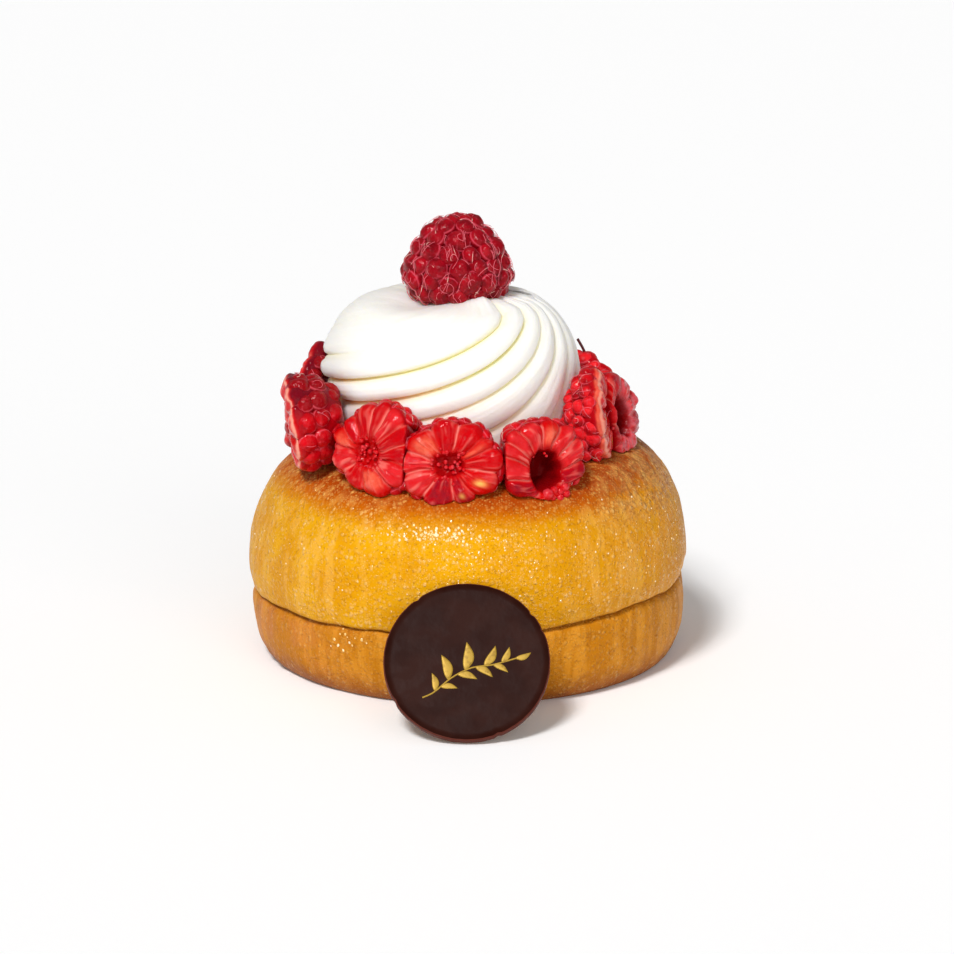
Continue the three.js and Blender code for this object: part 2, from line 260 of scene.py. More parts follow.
def polylines(name: str, paths: list[np.ndarray]) -> Mesh:
    """Makes a mesh of one line of edges along each path."""
    edges = []
    count = 0
    for path in paths:
        edges += [(count + i, count + i + 1) for i in range(len(path) - 1)]
        count += len(path)
    return mesh_of(name, np.vstack(paths), edges)


def spline(points: Sequence[tuple[float, float]], count: int) -> np.ndarray:
    """Runs a smooth curve through points, in even steps of length.

    Args:
        points: Radius and height of each point on the curve.
        count: How many points to give back.

    Returns:
        An array of radius and height, with `count` rows.
    """
    p = np.array([points[0], *points, points[-1]], float)
    steps = np.linspace(0, len(points) - 1, 60 * len(points), endpoint=True)
    index = np.minimum(steps.astype(int), len(points) - 2)
    t = (steps - index)[:, None]
    a, b, c, d = (p[index + k] for k in range(4))
    square, cube = 2 * a - 5 * b + 4 * c - d, 3 * b - a - 3 * c + d
    line = 0.5 * (2 * b + (c - a) * t + square * t**2 + cube * t**3)
    lengths = np.r_[0, np.cumsum(np.hypot(*np.diff(line, axis=0).T))]
    wanted = np.linspace(0, lengths[-1], count)
    return np.column_stack([np.interp(wanted, lengths, line[:, k]) for k in (0, 1)])


def smooth(value: np.ndarray | float, start: float, end: float) -> np.ndarray:
    """Nought at start and one at end, with a smooth rise between."""
    share = np.clip((np.asarray(value, float) - start) / (end - start), 0, 1)
    return share * share * (3 - 2 * share)


def uneven(points: np.ndarray, size: float, seed: float) -> np.ndarray:
    """Gives smooth noise from -1 to 1.

    Args:
        points: Places in millimetres, whose last axis is x, y and z.
        size: Width of one bump in millimetres.
        seed: Picks the pattern.

    Returns:
        A number for each place.
    """
    shift = Vector((seed, 1.7 * seed, -seed))
    values = [noise.noise(Vector(p) / size + shift) for p in points.reshape(-1, 3)]
    return np.array(values).reshape(points.shape[:-1])


def around(
    angle: np.ndarray | float, reach: np.ndarray | float, level: np.ndarray | float
) -> np.ndarray:
    """Gives points at angles round the cake, at a reach from its axis and at a level."""
    parts = np.broadcast_arrays(reach * np.sin(angle), -reach * np.cos(angle), level)
    return np.stack(parts, axis=-1)


def unit(vector: np.ndarray) -> np.ndarray:
    """Gives the vector's direction, at a length of one."""
    return vector / np.linalg.norm(vector)


def ringed_piece(
    name: str,
    rings: np.ndarray,
    material: Material,
    **attributes: np.ndarray,
) -> Object:
    """Makes a closed smooth piece from a stack of rings.

    Args:
        name: The piece's name.
        rings: Points by ring, by column, in millimetres.
        material: What it is made of.
        attributes: Numbers by ring and column that the material reads.

    Returns:
        The piece, whose ends are closed by the middles of the first and last ring.
    """
    rows, columns, _ = rings.shape
    points = np.vstack([rings.reshape(-1, 3), rings[0].mean(0), rings[-1].mean(0)])
    first, last = rows * columns, rows * columns + 1
    side = np.arange(columns)
    beside = (side + 1) % columns
    faces = [(first, b, a) for a, b in zip(side, beside)]
    for row in range(rows - 1):
        low, high = row * columns, (row + 1) * columns
        faces += list(zip(low + side, low + beside, high + beside, high + side))
    top = (rows - 1) * columns
    faces += [(top + a, top + b, last) for a, b in zip(side, beside)]
    mesh = mesh_of(name, points * MM, [], [tuple(map(int, face)) for face in faces])
    for label, values in attributes.items():
        store(mesh, label, np.r_[values.reshape(-1), values[0].mean(), values[-1].mean()])
    shape = bmesh.new()
    shape.from_mesh(mesh)
    bmesh.ops.recalc_face_normals(shape, faces=shape.faces)
    shape.to_mesh(mesh)
    shape.free()
    mesh.shade_smooth()
    mesh.materials.append(material)
    return linked(name, mesh)


def placed(points: np.ndarray, place: Matrix) -> np.ndarray:
    """Gives the points, whose last axis is x, y and z, after a move."""
    return points @ np.array(place.to_3x3()).T + np.array(place.translation)


def merged(name: str, pieces: list[Object]) -> Object:
    """Joins pieces that share a material into one."""
    material = next(m for m in pieces[-1].data.materials if m)
    shape = bmesh.new()
    for piece in pieces:
        shape.from_mesh(piece.data)
    for face in shape.faces:
        face.material_index = 0
    mesh = bpy.data.meshes.new(name)
    shape.to_mesh(mesh)
    shape.free()
    mesh.materials.append(material)
    mesh.shade_smooth()
    for piece in pieces:
        bpy.data.objects.remove(piece)
    return linked(name, mesh)


@dataclass
class Balls:
    """Round things of one kind that sit on points and face outwards."""

    segments: int = 18
    rings: int = 11
    thickness: float = 1.0
    stretch: float = 1.0
    size_change: float = 0.06
    lumps: float = 0.05
    lump_size: float = 1.6
    seed: int = 3

    def build(
        self,
        name: str,
        spots: Spots,
        material: Material,
        core: Object | None = None,
    ) -> Object:
        """Sets a ball at each spot with a node tree.

        Args:
            name: The piece's name.
            spots: Place, way out and radius of each ball, in millimetres.
            material: What they are made of.
            core: A closed piece that the balls cover and that joins them.

        Returns:
            The piece.
        """
        start = mesh_of(f"{name}_spots", np.array([place for place, _, _ in spots]) * MM)
        store(start, "out", np.array([unit(out) for _, out, _ in spots]))
        store(start, "size", np.array([radius for _, _, radius in spots]) * MM)
        shape = Shape(f"{name}_on_points")
        tree = shape.tree
        n = shape.numbers(self)
        ball = {"Segments": n["segments"], "Rings": n["rings"], "Radius": 1.0}
        sphere = output(tree, "GeometryNodeMeshUVSphere", ball)
        _, _, height = split(tree, output(tree, "GeometryNodeInputPosition"))
        # Rim is nought at the top of each ball and one low down; the raspberry skin paints its pink ring
        # and its crevice shade from it.
        rim = {"Geometry": sphere, "Name": "rim", "Value": height.rise(0.75, 0.2)}
        sphere = output(tree, "GeometryNodeStoreNamedAttribute", rim)
        out = output(tree, "GeometryNodeInputNamedAttribute", {0: "out"}, data_type="FLOAT_VECTOR")
        size = output(tree, "GeometryNodeInputNamedAttribute", {0: "size"}, data_type="FLOAT")
        facing = output(tree, "FunctionNodeAlignRotationToVector", {"Vector": out}, axis="Z")
        spread = {2: 1.0 - n["size_change"], 3: 1.0 + n["size_change"], "Seed": n["seed"]}
        size = size * Field(add(tree, "FunctionNodeRandomValue", spread, data_type="FLOAT").outputs[1])
        scale = joined(tree, size, size * n["stretch"], size * n["thickness"])
        links = {"Points": shape.start.outputs[0], "Instance": sphere, "Rotation": facing, "Scale": scale}
        many = output(tree, "GeometryNodeInstanceOnPoints", links)
        solid = output(tree, "GeometryNodeRealizeInstances", {0: many})
        where = output(tree, "GeometryNodeInputPosition")
        coarse = {"Vector": where, "Scale": 1.0 / (n["lump_size"] * MM), "Detail": 1.0}
        swell = (output(tree, "ShaderNodeTexNoise", coarse) - 0.5) * n["lumps"] * size * 4.0
        normal = output(tree, "GeometryNodeInputNormal")
        push = output(tree, "ShaderNodeVectorMath", {0: normal, "Scale": swell}, operation="SCALE")
        uneven_balls = output(tree, "GeometryNodeSetPosition", {"Geometry": solid, "Offset": push})
        shape.finish(uneven_balls, material)
        balls = shape.run(name, start)
        return balls if core is None else merged(name, [balls, core])


@dataclass
class Threads:
    """Thin round threads along paths."""

    radius: float = 0.05
    sides: int = 5

    def build(self, name: str, paths: list[np.ndarray], material: Material) -> Object:
        """Makes a closed tube along each path with a node tree.

        Args:
            name: The piece's name.
            paths: Points along each thread, in millimetres.
            material: What they are made of.

        Returns:
            The piece.
        """
        start = polylines(f"{name}_paths", [path * MM for path in paths])
        shape = Shape(f"{name}_along_paths")
        n = shape.numbers(self)
        line = output(shape.tree, "GeometryNodeMeshToCurve", {0: shape.start.outputs[0]})
        circle = {"Resolution": n["sides"], "Radius": n["radius"] * MM}
        ring = output(shape.tree, "GeometryNodeCurvePrimitiveCircle", circle)
        tube = {"Curve": line, "Profile Curve": ring, "Fill Caps": True}
        shape.finish(output(shape.tree, "GeometryNodeCurveToMesh", tube), material)
        return shape.run(name, start)


def kept(piece: Object, slot: str, *nodes: str) -> Object:
    """Attaches a finished piece to the body, hides the solids that it stands for and logs its triangles.

    Args:
        piece: The piece, in place.
        slot: The record's material slot; not used.
        nodes: The solids that it stands for.

    Returns:
        The piece.
    """
    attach(piece, BODY)
    if nodes:
        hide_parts(*nodes)
    triangles = sum(len(face.vertices) - 2 for face in piece.data.polygons)
    LOG.info("%s: %d triangles", piece.name, triangles)
    return piece


# ---- Finishes ----


class Surface:
    """A material being made: its tree, its shader and colours laid one over another."""

    def __init__(self, name: str, base: str, **values: object) -> None:
        """Starts a material.

        Args:
            name: The real material's name.
            base: Its main colour, as sRGB hex.
            values: Numbers set on the shader's own sockets, by name with _ for a space.
        """
        self.material = bpy.data.materials.new(name)
        self.material.use_nodes = True
        self.tree = self.material.node_tree
        self.tree.nodes.clear()
        self.shader = add(self.tree, "ShaderNodeBsdfPrincipled")
        for key, value in values.items():
            self.shader.inputs[key.replace("_", " ")].default_value = value
        add(self.tree, "ShaderNodeOutputMaterial", {"Surface": self.shader.outputs[0]})
        self.colour: NodeSocket | tuple = linear(base)
        coordinates = add(self.tree, "ShaderNodeTexCoord").outputs["Object"]
        links = {0: coordinates, "Scale": 1 / MM}
        self.place = output(self.tree, "ShaderNodeVectorMath", links, operation="SCALE")

    def grain(self, size: float, detail: float = 2.0, stretch: tuple = (1, 1, 1)) -> Field:
        """Gives an uneven pattern.

        Args:
            size: Width of its spots in millimetres.
            detail: How many finer octaves it has.
            stretch: How much longer the spots are along each axis.

        Returns:
            A number that is mostly from 0.3 to 0.7.
        """
        shrunk = {0: self.place, 1: [1 / (size * s) for s in stretch]}
        place = output(self.tree, "ShaderNodeVectorMath", shrunk, operation="MULTIPLY")
        return output(self.tree, "ShaderNodeTexNoise", {"Vector": place, "Scale": 1.0, "Detail": detail})

    def dots(self, size: float) -> tuple[Field, Field]:
        """Gives scattered round spots.

        Args:
            size: Distance between spots in millimetres.

        Returns:
            Distance from the nearest spot, as a share of `size`, and a random number for it.
        """
        pattern = add(self.tree, "ShaderNodeTexVoronoi", {"Vector": self.place, "Scale": 1 / size})
        return Field(pattern.outputs["Distance"]), split(self.tree, pattern.outputs["Color"])[0]

    def measure(self, name: str) -> Field:
        """Reads a number that is stored on the mesh."""
        return Field(add(self.tree, "ShaderNodeAttribute", attribute_name=name).outputs["Fac"])

    def lay(self, colour: str, where: Field | float) -> None:
        """Lays a colour over what is there, as far as `where` says."""
        links = {0: where, 6: self.colour, 7: linear(colour)}
        self.colour = add(self.tree, "ShaderNodeMix", links, data_type="RGBA").outputs[2]

    def feed(self, name: str, value: Field) -> None:
        """Links an output to one of the shader's own sockets."""
        self.tree.links.new(value.socket, self.shader.inputs[name])

    def gloss(self, shine: float, dull: float, where: Field) -> None:
        """Gives the shader a roughness from `shine` to `dull`, as `where` goes from 0 to 1."""
        self.feed("Roughness", where.clip(0.0, 1.0) * (dull - shine) + shine)

    def relief(self, height: Field, depth: float) -> None:
        """Gives the shader small bumps.

        Args:
            height: Height of the surface, from 0 to 1.
            depth: How deep the bumps are, in millimetres.
        """
        links = {"Height": height, "Distance": depth * MM, "Strength": 1.0}
        bump = output(self.tree, "ShaderNodeBump", links)
        self.feed("Normal", bump)
        self.feed("Coat Normal", bump)

    def done(self) -> Material:
        """Joins the colour to the shader and gives the material."""
        socket = self.shader.inputs["Base Color"]
        if isinstance(self.colour, tuple):
            socket.default_value = self.colour
        else:
            self.tree.links.new(self.colour, socket)
        return self.material


@dataclass(frozen=True)
class SoakedCrust:
    """Baked sponge crust soaked in syrup: golden, finely speckled, with beads of wet gloss."""

    gold: str = "D49006"
    butter: str = "DE9F08"
    speckle: str = "F2BC62"
    amber: str = "B85203"
    tan: str = "D48A28"
    # Red-brown right under the raspberries: painted shadow, tinted as a juice stain.
    juice: str = "98300A"
    biscuit: str = "CC9050"
    brown: str = "8A4A18"
    foot: str = "BE7612"
    foot_pale: str = "D68E2A"
    foot_edge: str = "864420"
    blush: str = "C9744E"
    gleam: str = "FFC850"
    speckle_size: float = 0.85
    grit_size: float = 0.42
    # Where each zone starts and where it is full: across from the left, or up from the table.
    butter_side: tuple = (24.0, -6.0)
    tan_side: tuple = (8.0, 48.0)
    # Amber from soaked syrup and painted shade under the raspberries.
    syrup_height: tuple = (30.6, 35.0)
    syrup_thin_side: tuple = (16.0, 36.0)
    berry_shade_and_bounce_height: tuple = (33.6, 36.6)
    hard_side: tuple = (20.0, 31.0)
    hard_height: tuple = (28.0, 33.0)
    blush_side: tuple = (-14.0, -36.0)
    edge_height: tuple = (6.0, 0.0)
    left_streaks: tuple = (-2.0, -26.0)
    right_streaks: tuple = (4.0, 26.0)
    dry_top: tuple = (36.0, 31.0)

    def material(self) -> Material:
        """Makes the crust: colour zones by height and side, painted shade under the raspberries and along
        the crease, speckles and a coat of syrup.
        """
        s = Surface(
            "soaked_sponge_crust",
            self.gold,
            Specular_IOR_Level=0.12,
            Specular_Tint=linear(self.gleam),
            Coat_Roughness=0.1,
            Coat_IOR=1.6,
            Subsurface_Weight=0.1,
            Subsurface_Radius=(1.0, 0.5, 0.18),
            Subsurface_Scale=1.5 * MM,
        )
        x, _, z = split(s.tree, s.place)
        foot = s.measure("foot")
        dome = 1.0 - foot
        mottle = s.grain(6.0, 4.0)
        spots = s.grain(1.8, 3.0)
        far, chance = s.dots(self.speckle_size)
        pearls = far.rise(0.58, 0.16) * chance.rise(0.35, 0.9)
        near, luck = s.dots(self.grit_size)
        grit = near.rise(0.62, 0.12) * luck.rise(0.15, 0.8)
        pits = s.grain(0.55, 1.0).rise(0.42, 0.26)
        streaks = s.grain(2.2, 2.0, (1, 1, 7))
        wrinkles = s.grain(0.55, 2.0, (2.8, 2.8, 0.9))
        s.lay(self.butter, mottle.rise(0.35, 0.65) * x.rise(*self.butter_side))
        # The dome is browner towards the right, where it baked harder.
        s.lay(self.tan, x.rise(*self.tan_side) * (mottle + spots * 0.5).rise(0.5, 0.85) * dome)
        # Towards the raspberries the crust is darker amber, from soaked syrup and from painted shade under
        # them, less so to the right; right under them lies a painted shadow tinted as a juice stain.
        rough_height = z + (mottle - 0.5) * 5.0
        amber_strength = 0.95 - 0.45 * x.rise(*self.syrup_thin_side)
        s.lay(self.amber, rough_height.rise(*self.syrup_height) * amber_strength)
        # Painted shadow right under the raspberries, tinted red as a juice stain.
        s.lay(self.juice, (z + (spots - 0.5) * 3.0).rise(*self.berry_shade_and_bounce_height) * 0.75)
        patches = spots * 0.5 + mottle * 0.5
        harder = x.rise(*self.hard_side) * z.rise(*self.hard_height) * patches.rise(0.36, 0.56)
        s.lay(self.biscuit, harder * 0.6)
        s.lay(self.brown, harder * wrinkles.rise(0.48, 0.58) * 0.6)
        s.lay(self.foot, foot)
        s.lay(self.foot_pale, foot * streaks.rise(0.42, 0.62) * 0.8)
        s.lay(self.blush, foot * x.rise(*self.blush_side) * mottle.rise(0.4, 0.6) * 0.3)
        s.lay(self.brown, foot * spots.rise(0.56, 0.7) * 0.3)
        s.lay(self.foot_edge, foot * rough_height.rise(*self.edge_height) * 0.85)
        # Painted shade: brown along the crease, under the dome's overhanging lip.
        s.lay(self.brown, s.measure("crease") * 0.8)
        clusters = patches.rise(0.4, 0.62)
        sides = x.rise(*self.left_streaks) + x.rise(*self.right_streaks)
        s.lay(self.speckle, dome * sides * streaks.rise(0.5, 0.64) * 0.24)
        s.lay(self.speckle, pearls * (0.25 + 0.6 * clusters) * (0.35 + 0.5 * dome))
        s.lay(self.speckle, grit * (0.25 + 0.3 * clusters) * (0.4 + 0.6 * dome))
        s.lay(self.brown, pits * 0.22)
        s.gloss(0.5, 0.3, pearls)
        wet = (0.02 + 0.5 * grit + pearls) * (0.08 + 0.92 * clusters) * (0.2 + 0.8 * dome)
        s.feed("Coat Weight", (wet * z.rise(*self.dry_top)).clip(0.0, 1.0))
        s.relief(pearls * 0.3 + grit * 0.18 + spots * 0.35 - pits * 0.2 + wrinkles * harder * 0.8, 0.4)
        return s.done()


@dataclass(frozen=True)
class SyrupDrop:
    """Sugar syrup in drops: clear and pale, so a glossy light spot on the crust."""

    pale: str = "F4C878"
    paler: str = "FBE6BE"

    def material(self) -> Material:
        """Makes the syrup, some drops paler than others."""
        s = Surface("sugar_syrup", self.pale, Roughness=0.1, Coat_Weight=1.0, Coat_Roughness=0.04)
        s.lay(self.paler, s.grain(1.0, 1.0).rise(0.45, 0.6))
        return s.done()


@dataclass(frozen=True)
class WhippedCream:
    """Whipped cream: ivory, satin, light passes into it, warmer down in the valleys."""

    ivory: str = "F1EFE9"
    warm: str = "FFF4BC"
    # Orange bounce light from the raspberries, painted in the valleys low at the left.
    juice: str = "F5A96E"
    # Pink bounce light from the raspberries, painted on the lower cream.
    blush: str = "F8DCCB"
    # Where each tint and each painted bounce light starts and where it is full, in millimetres across or
    # up.
    pink_bounce_height: tuple = (47.0, 39.0)
    berry_shade_and_bounce_height: tuple = (57.0, 48.0)
    orange_bounce_side: tuple = (12.0, -8.0)

    def material(self) -> Material:
        """Makes the cream, with its valleys tinted, painted pink and orange bounce light from the
        raspberries, and a very fine grain.
        """
        s = Surface(
            "whipped_cream",
            self.ivory,
            Specular_IOR_Level=0.35,
            Subsurface_Weight=0.7,
            Subsurface_Radius=(1.0, 0.9, 0.65),
            Subsurface_Scale=3.5 * MM,
        )
        x, _, z = split(s.tree, s.place)
        valley = s.measure("valley")
        # Painted light: pink bounce from the raspberries on the lower cream.
        s.lay(self.blush, (z + (s.grain(7.0) - 0.5) * 6.0).rise(*self.pink_bounce_height) * 0.35)
        s.lay(self.warm, valley)
        # Painted light: orange bounce from the raspberries in the valleys low at the left.
        s.lay(self.juice, valley * z.rise(*self.berry_shade_and_bounce_height) * x.rise(*self.orange_bounce_side) * 0.85)
        s.gloss(0.4, 0.55, s.grain(1.2, 2.0).rise(0.4, 0.6))
        s.relief(s.grain(0.9, 2.0, (1, 1, 0.6)), 0.08)
        return s.done()


@dataclass(frozen=True)
class RaspberrySkin:
    """Ripe raspberry skin: crimson, velvety with fine down, pinker at each drupelet's rim, partly as
    painted light.
    """

    name: str = "raspberry_skin"
    crimson: str = "8E0414"
    dark: str = "66020D"
    bright: str = "A8081A"
    rim: str = "DA4E62"
    down: str = "F3A9B4"
    gleam: str = "FF5560"
    glow: str = "E8222A"
    sheen: float = 0.09
    crinkle: float = 0.36
    # Past these, in millimetres across, the skin is painted darker as shade, or brighter as light.
    shade_from: float = -90.0
    glow_from: float = 90.0
    shade_height: tuple = (47.0, 51.0)
    glow_height: tuple = (54.0, 51.0)

    def material(self) -> Material:
        """Makes the skin, with a pinkish rim round each drupelet, painted shade in the crevices and at the
        back left, painted light at the right, and a soft sheen.
        """
        s = Surface(
            self.name,
            self.crimson,
            Specular_IOR_Level=0.14,
            Specular_Tint=linear(self.gleam),
            Coat_Weight=0.2,
            Coat_Roughness=0.06,
            Sheen_Weight=self.sheen,
            Sheen_Roughness=0.35,
            Sheen_Tint=linear(self.down),
            Subsurface_Weight=0.15,
            Subsurface_Radius=(1.0, 0.15, 0.12),
            Subsurface_Scale=1.2 * MM,
        )
        mottle = s.grain(2.4, 3.0)
        fine = s.grain(0.85, 3.0)
        s.lay(self.dark, mottle.rise(0.5, 0.68) * 0.75)
        s.lay(self.bright, mottle.rise(0.5, 0.32) * 0.8)
        # Painted shade: the berry behind at the left is darker.
        x, _, z = split(s.tree, s.place)
        painted_shade_left = x.rise(self.shade_from + 8.0, self.shade_from) * z.rise(*self.shade_height)
        s.lay(self.dark, painted_shade_left * 0.9)
        # Painted light: those at the right are brighter.
        painted_light_right = x.rise(self.glow_from, self.glow_from + 3.0) * z.rise(*self.glow_height)
        s.lay(self.glow, painted_light_right * mottle.rise(0.62, 0.42) * 0.8)
        rim = s.measure("rim")
        # Pink ring round each drupelet: partly its fine down, partly painted light scattered through the
        # thin skin.
        s.lay(self.rim, rim.rise(0.4, 0.6) * rim.rise(0.84, 0.66) * 0.6)
        s.lay(self.rim, fine.rise(0.58, 0.7) * 0.3)
        # Painted shade low on each drupelet, where it sinks between its neighbours.
        s.lay(self.dark, rim.rise(0.86, 1.0) * 0.5)
        s.gloss(0.28, 0.5, mottle.rise(0.35, 0.65))
        s.relief(fine * 0.7 + mottle * 0.3, self.crinkle)
        return s.done()


@dataclass(frozen=True)
class RaspberryFlesh:
    """Freshly cut raspberry: wet translucent red cells with pale walls and seeds showing."""

    red: str = "C60205"
    coral: str = "D62A30"
    peach: str = "EA6C50"
    plum: str = "86081E"
    wall: str = "EE8478"
    rind: str = "EE9E88"
    # Painted shade in the heart and in a hollow.
    deep: str = "6E0206"
    seed: str = "F2B35C"
    skin: str = "A80410"
    ripe: str = "720818"
    dusty: str = "D4707A"
    gleam: str = "FF4038"
    # Where the duller right and the painted shade at the back left start and are full, in millimetres
    # across or up.
    dusty_side: tuple = (25.5, 28.5)
    flesh_shade_side: tuple = (-18.0, -26.0)
    flesh_shade_height: tuple = (47.0, 51.0)

    def material(self) -> Material:
        """Makes the cut flesh from the cell measures that are stored on the mesh, with painted shade in the
        heart and at the back left.
        """
        s = Surface(
            "cut_raspberry_flesh",
            self.red,
            Specular_IOR_Level=0.12,
            Specular_Tint=linear(self.gleam),
            Coat_Roughness=0.05,
            Subsurface_Weight=0.22,
            Subsurface_Radius=(1.0, 0.12, 0.08),
            Subsurface_Scale=1.4 * MM,
        )
        spots = s.grain(1.3, 3.0)
        for measure, colour in (("coral", self.coral), ("plum", self.plum), ("peach", self.peach)):
            s.lay(colour, s.measure(measure) * (0.6 + 1.4 * (spots - 0.5)).clip(0.0, 1.0))
        s.lay(self.wall, s.measure("streak") * (0.24 + 0.24 * s.measure("coral")))
        s.lay(self.seed, s.measure("seed"))
        s.lay(self.wall, s.measure("wall"))
        deep = s.measure("deep")
        x, _, z = split(s.tree, s.place)
        s.lay(self.dusty, x.rise(*self.dusty_side) * spots.rise(0.3, 0.6) * 0.55)
        # Painted shade in the heart's recess, full in a hollow.
        s.lay(self.deep, deep)
        skin = s.measure("skin")
        s.lay(self.skin, skin)
        # Painted shade: the skin of the berries at the back left is darker.
        s.lay(self.ripe, skin * x.rise(*self.flesh_shade_side) * z.rise(*self.flesh_shade_height))
        s.lay(self.rind, s.measure("rind"))
        s.feed("Coat Weight", 0.2 - 0.16 * deep)
        s.gloss(0.16, 0.36, spots.rise(0.35, 0.65))
        s.relief(spots * 0.6 + s.grain(0.5, 2.0) * 0.4, 0.16)
        return s.done()


@dataclass(frozen=True)
class JuiceBead:
    """A tiny sac of juice at the heart of a cut raspberry: wet red with a hard glint."""

    red: str = "C60A16"
    pink: str = "E0505A"
    gleam: str = "FF5048"

    def material(self) -> Material:
        """Makes the sac, some of them pinker than others."""
        s = Surface(
            "raspberry_juice_sac",
            self.red,
            Roughness=0.2,
            Specular_Tint=linear(self.gleam),
            Coat_Weight=0.45,
            Coat_Roughness=0.03,
        )
        s.lay(self.pink, s.grain(1.1, 1.0).rise(0.5, 0.62) * 0.35)
        return s.done()


@dataclass(frozen=True)
class RaspberryHair:
    """The dried styles of a raspberry: fine stiff threads, pale pink to straw."""

    name: str = "raspberry_hair"
    pink: str = "E0606E"
    straw: str = "F2C8B8"

    def material(self) -> Material:
        """Makes the threads."""
        s = Surface(self.name, self.pink, Roughness=0.4)
        s.lay(self.straw, s.grain(2.0, 1.0).rise(0.56, 0.68))
        return s.done()


@dataclass(frozen=True)
class DarkChocolate:
    """Tempered dark chocolate, cast thin: satin, nearly black brown, paler on its cut rim."""

    brown: str = "260C06"
    worn: str = "32160F"
    rim: str = "5A2A20"

    def material(self) -> Material:
        """Makes the chocolate, with faint cloudy marks."""
        s = Surface("dark_chocolate", self.brown, Specular_IOR_Level=0.06)
        s.lay(self.worn, s.grain(6.0, 3.0).rise(0.38, 0.66) * 0.6)
        s.lay(self.rim, s.measure("rim"))
        s.gloss(0.34, 0.5, s.grain(3.5, 3.0).rise(0.4, 0.6))
        s.relief(s.grain(2.5, 3.0), 0.05)
        return s.done()


@dataclass(frozen=True)
class GoldPrint:
    """Cocoa butter coloured gold and printed on chocolate: dull gold with a low gleam."""

    gold: str = "A5832A"
    worn: str = "7E5F18"

    def material(self) -> Material:
        """Makes the print, a little uneven in strength."""
        s = Surface("gold_cocoa_butter", self.gold, Roughness=0.42, Metallic=0.3, Specular_IOR_Level=0.3)
        s.lay(self.worn, s.grain(0.8, 2.0).rise(0.5, 0.7) * 0.6)
        return s.done()


@dataclass(frozen=True)
class StudioPaper:
    """Matt white paper under the cake."""

    white: str = "FCFCFC"
    bright: str = "FFFFFF"

    def material(self) -> Material:
        """Makes the paper, with a grain too fine to see from here."""
        s = Surface("studio_paper", self.white, Roughness=0.8, Emission_Strength=0.05)
        s.shader.inputs["Emission Color"].default_value = linear(self.bright)
        s.lay(self.bright, s.grain(2.0, 1.0) * 0.5)
        return s.done()


# ---- Cake ----


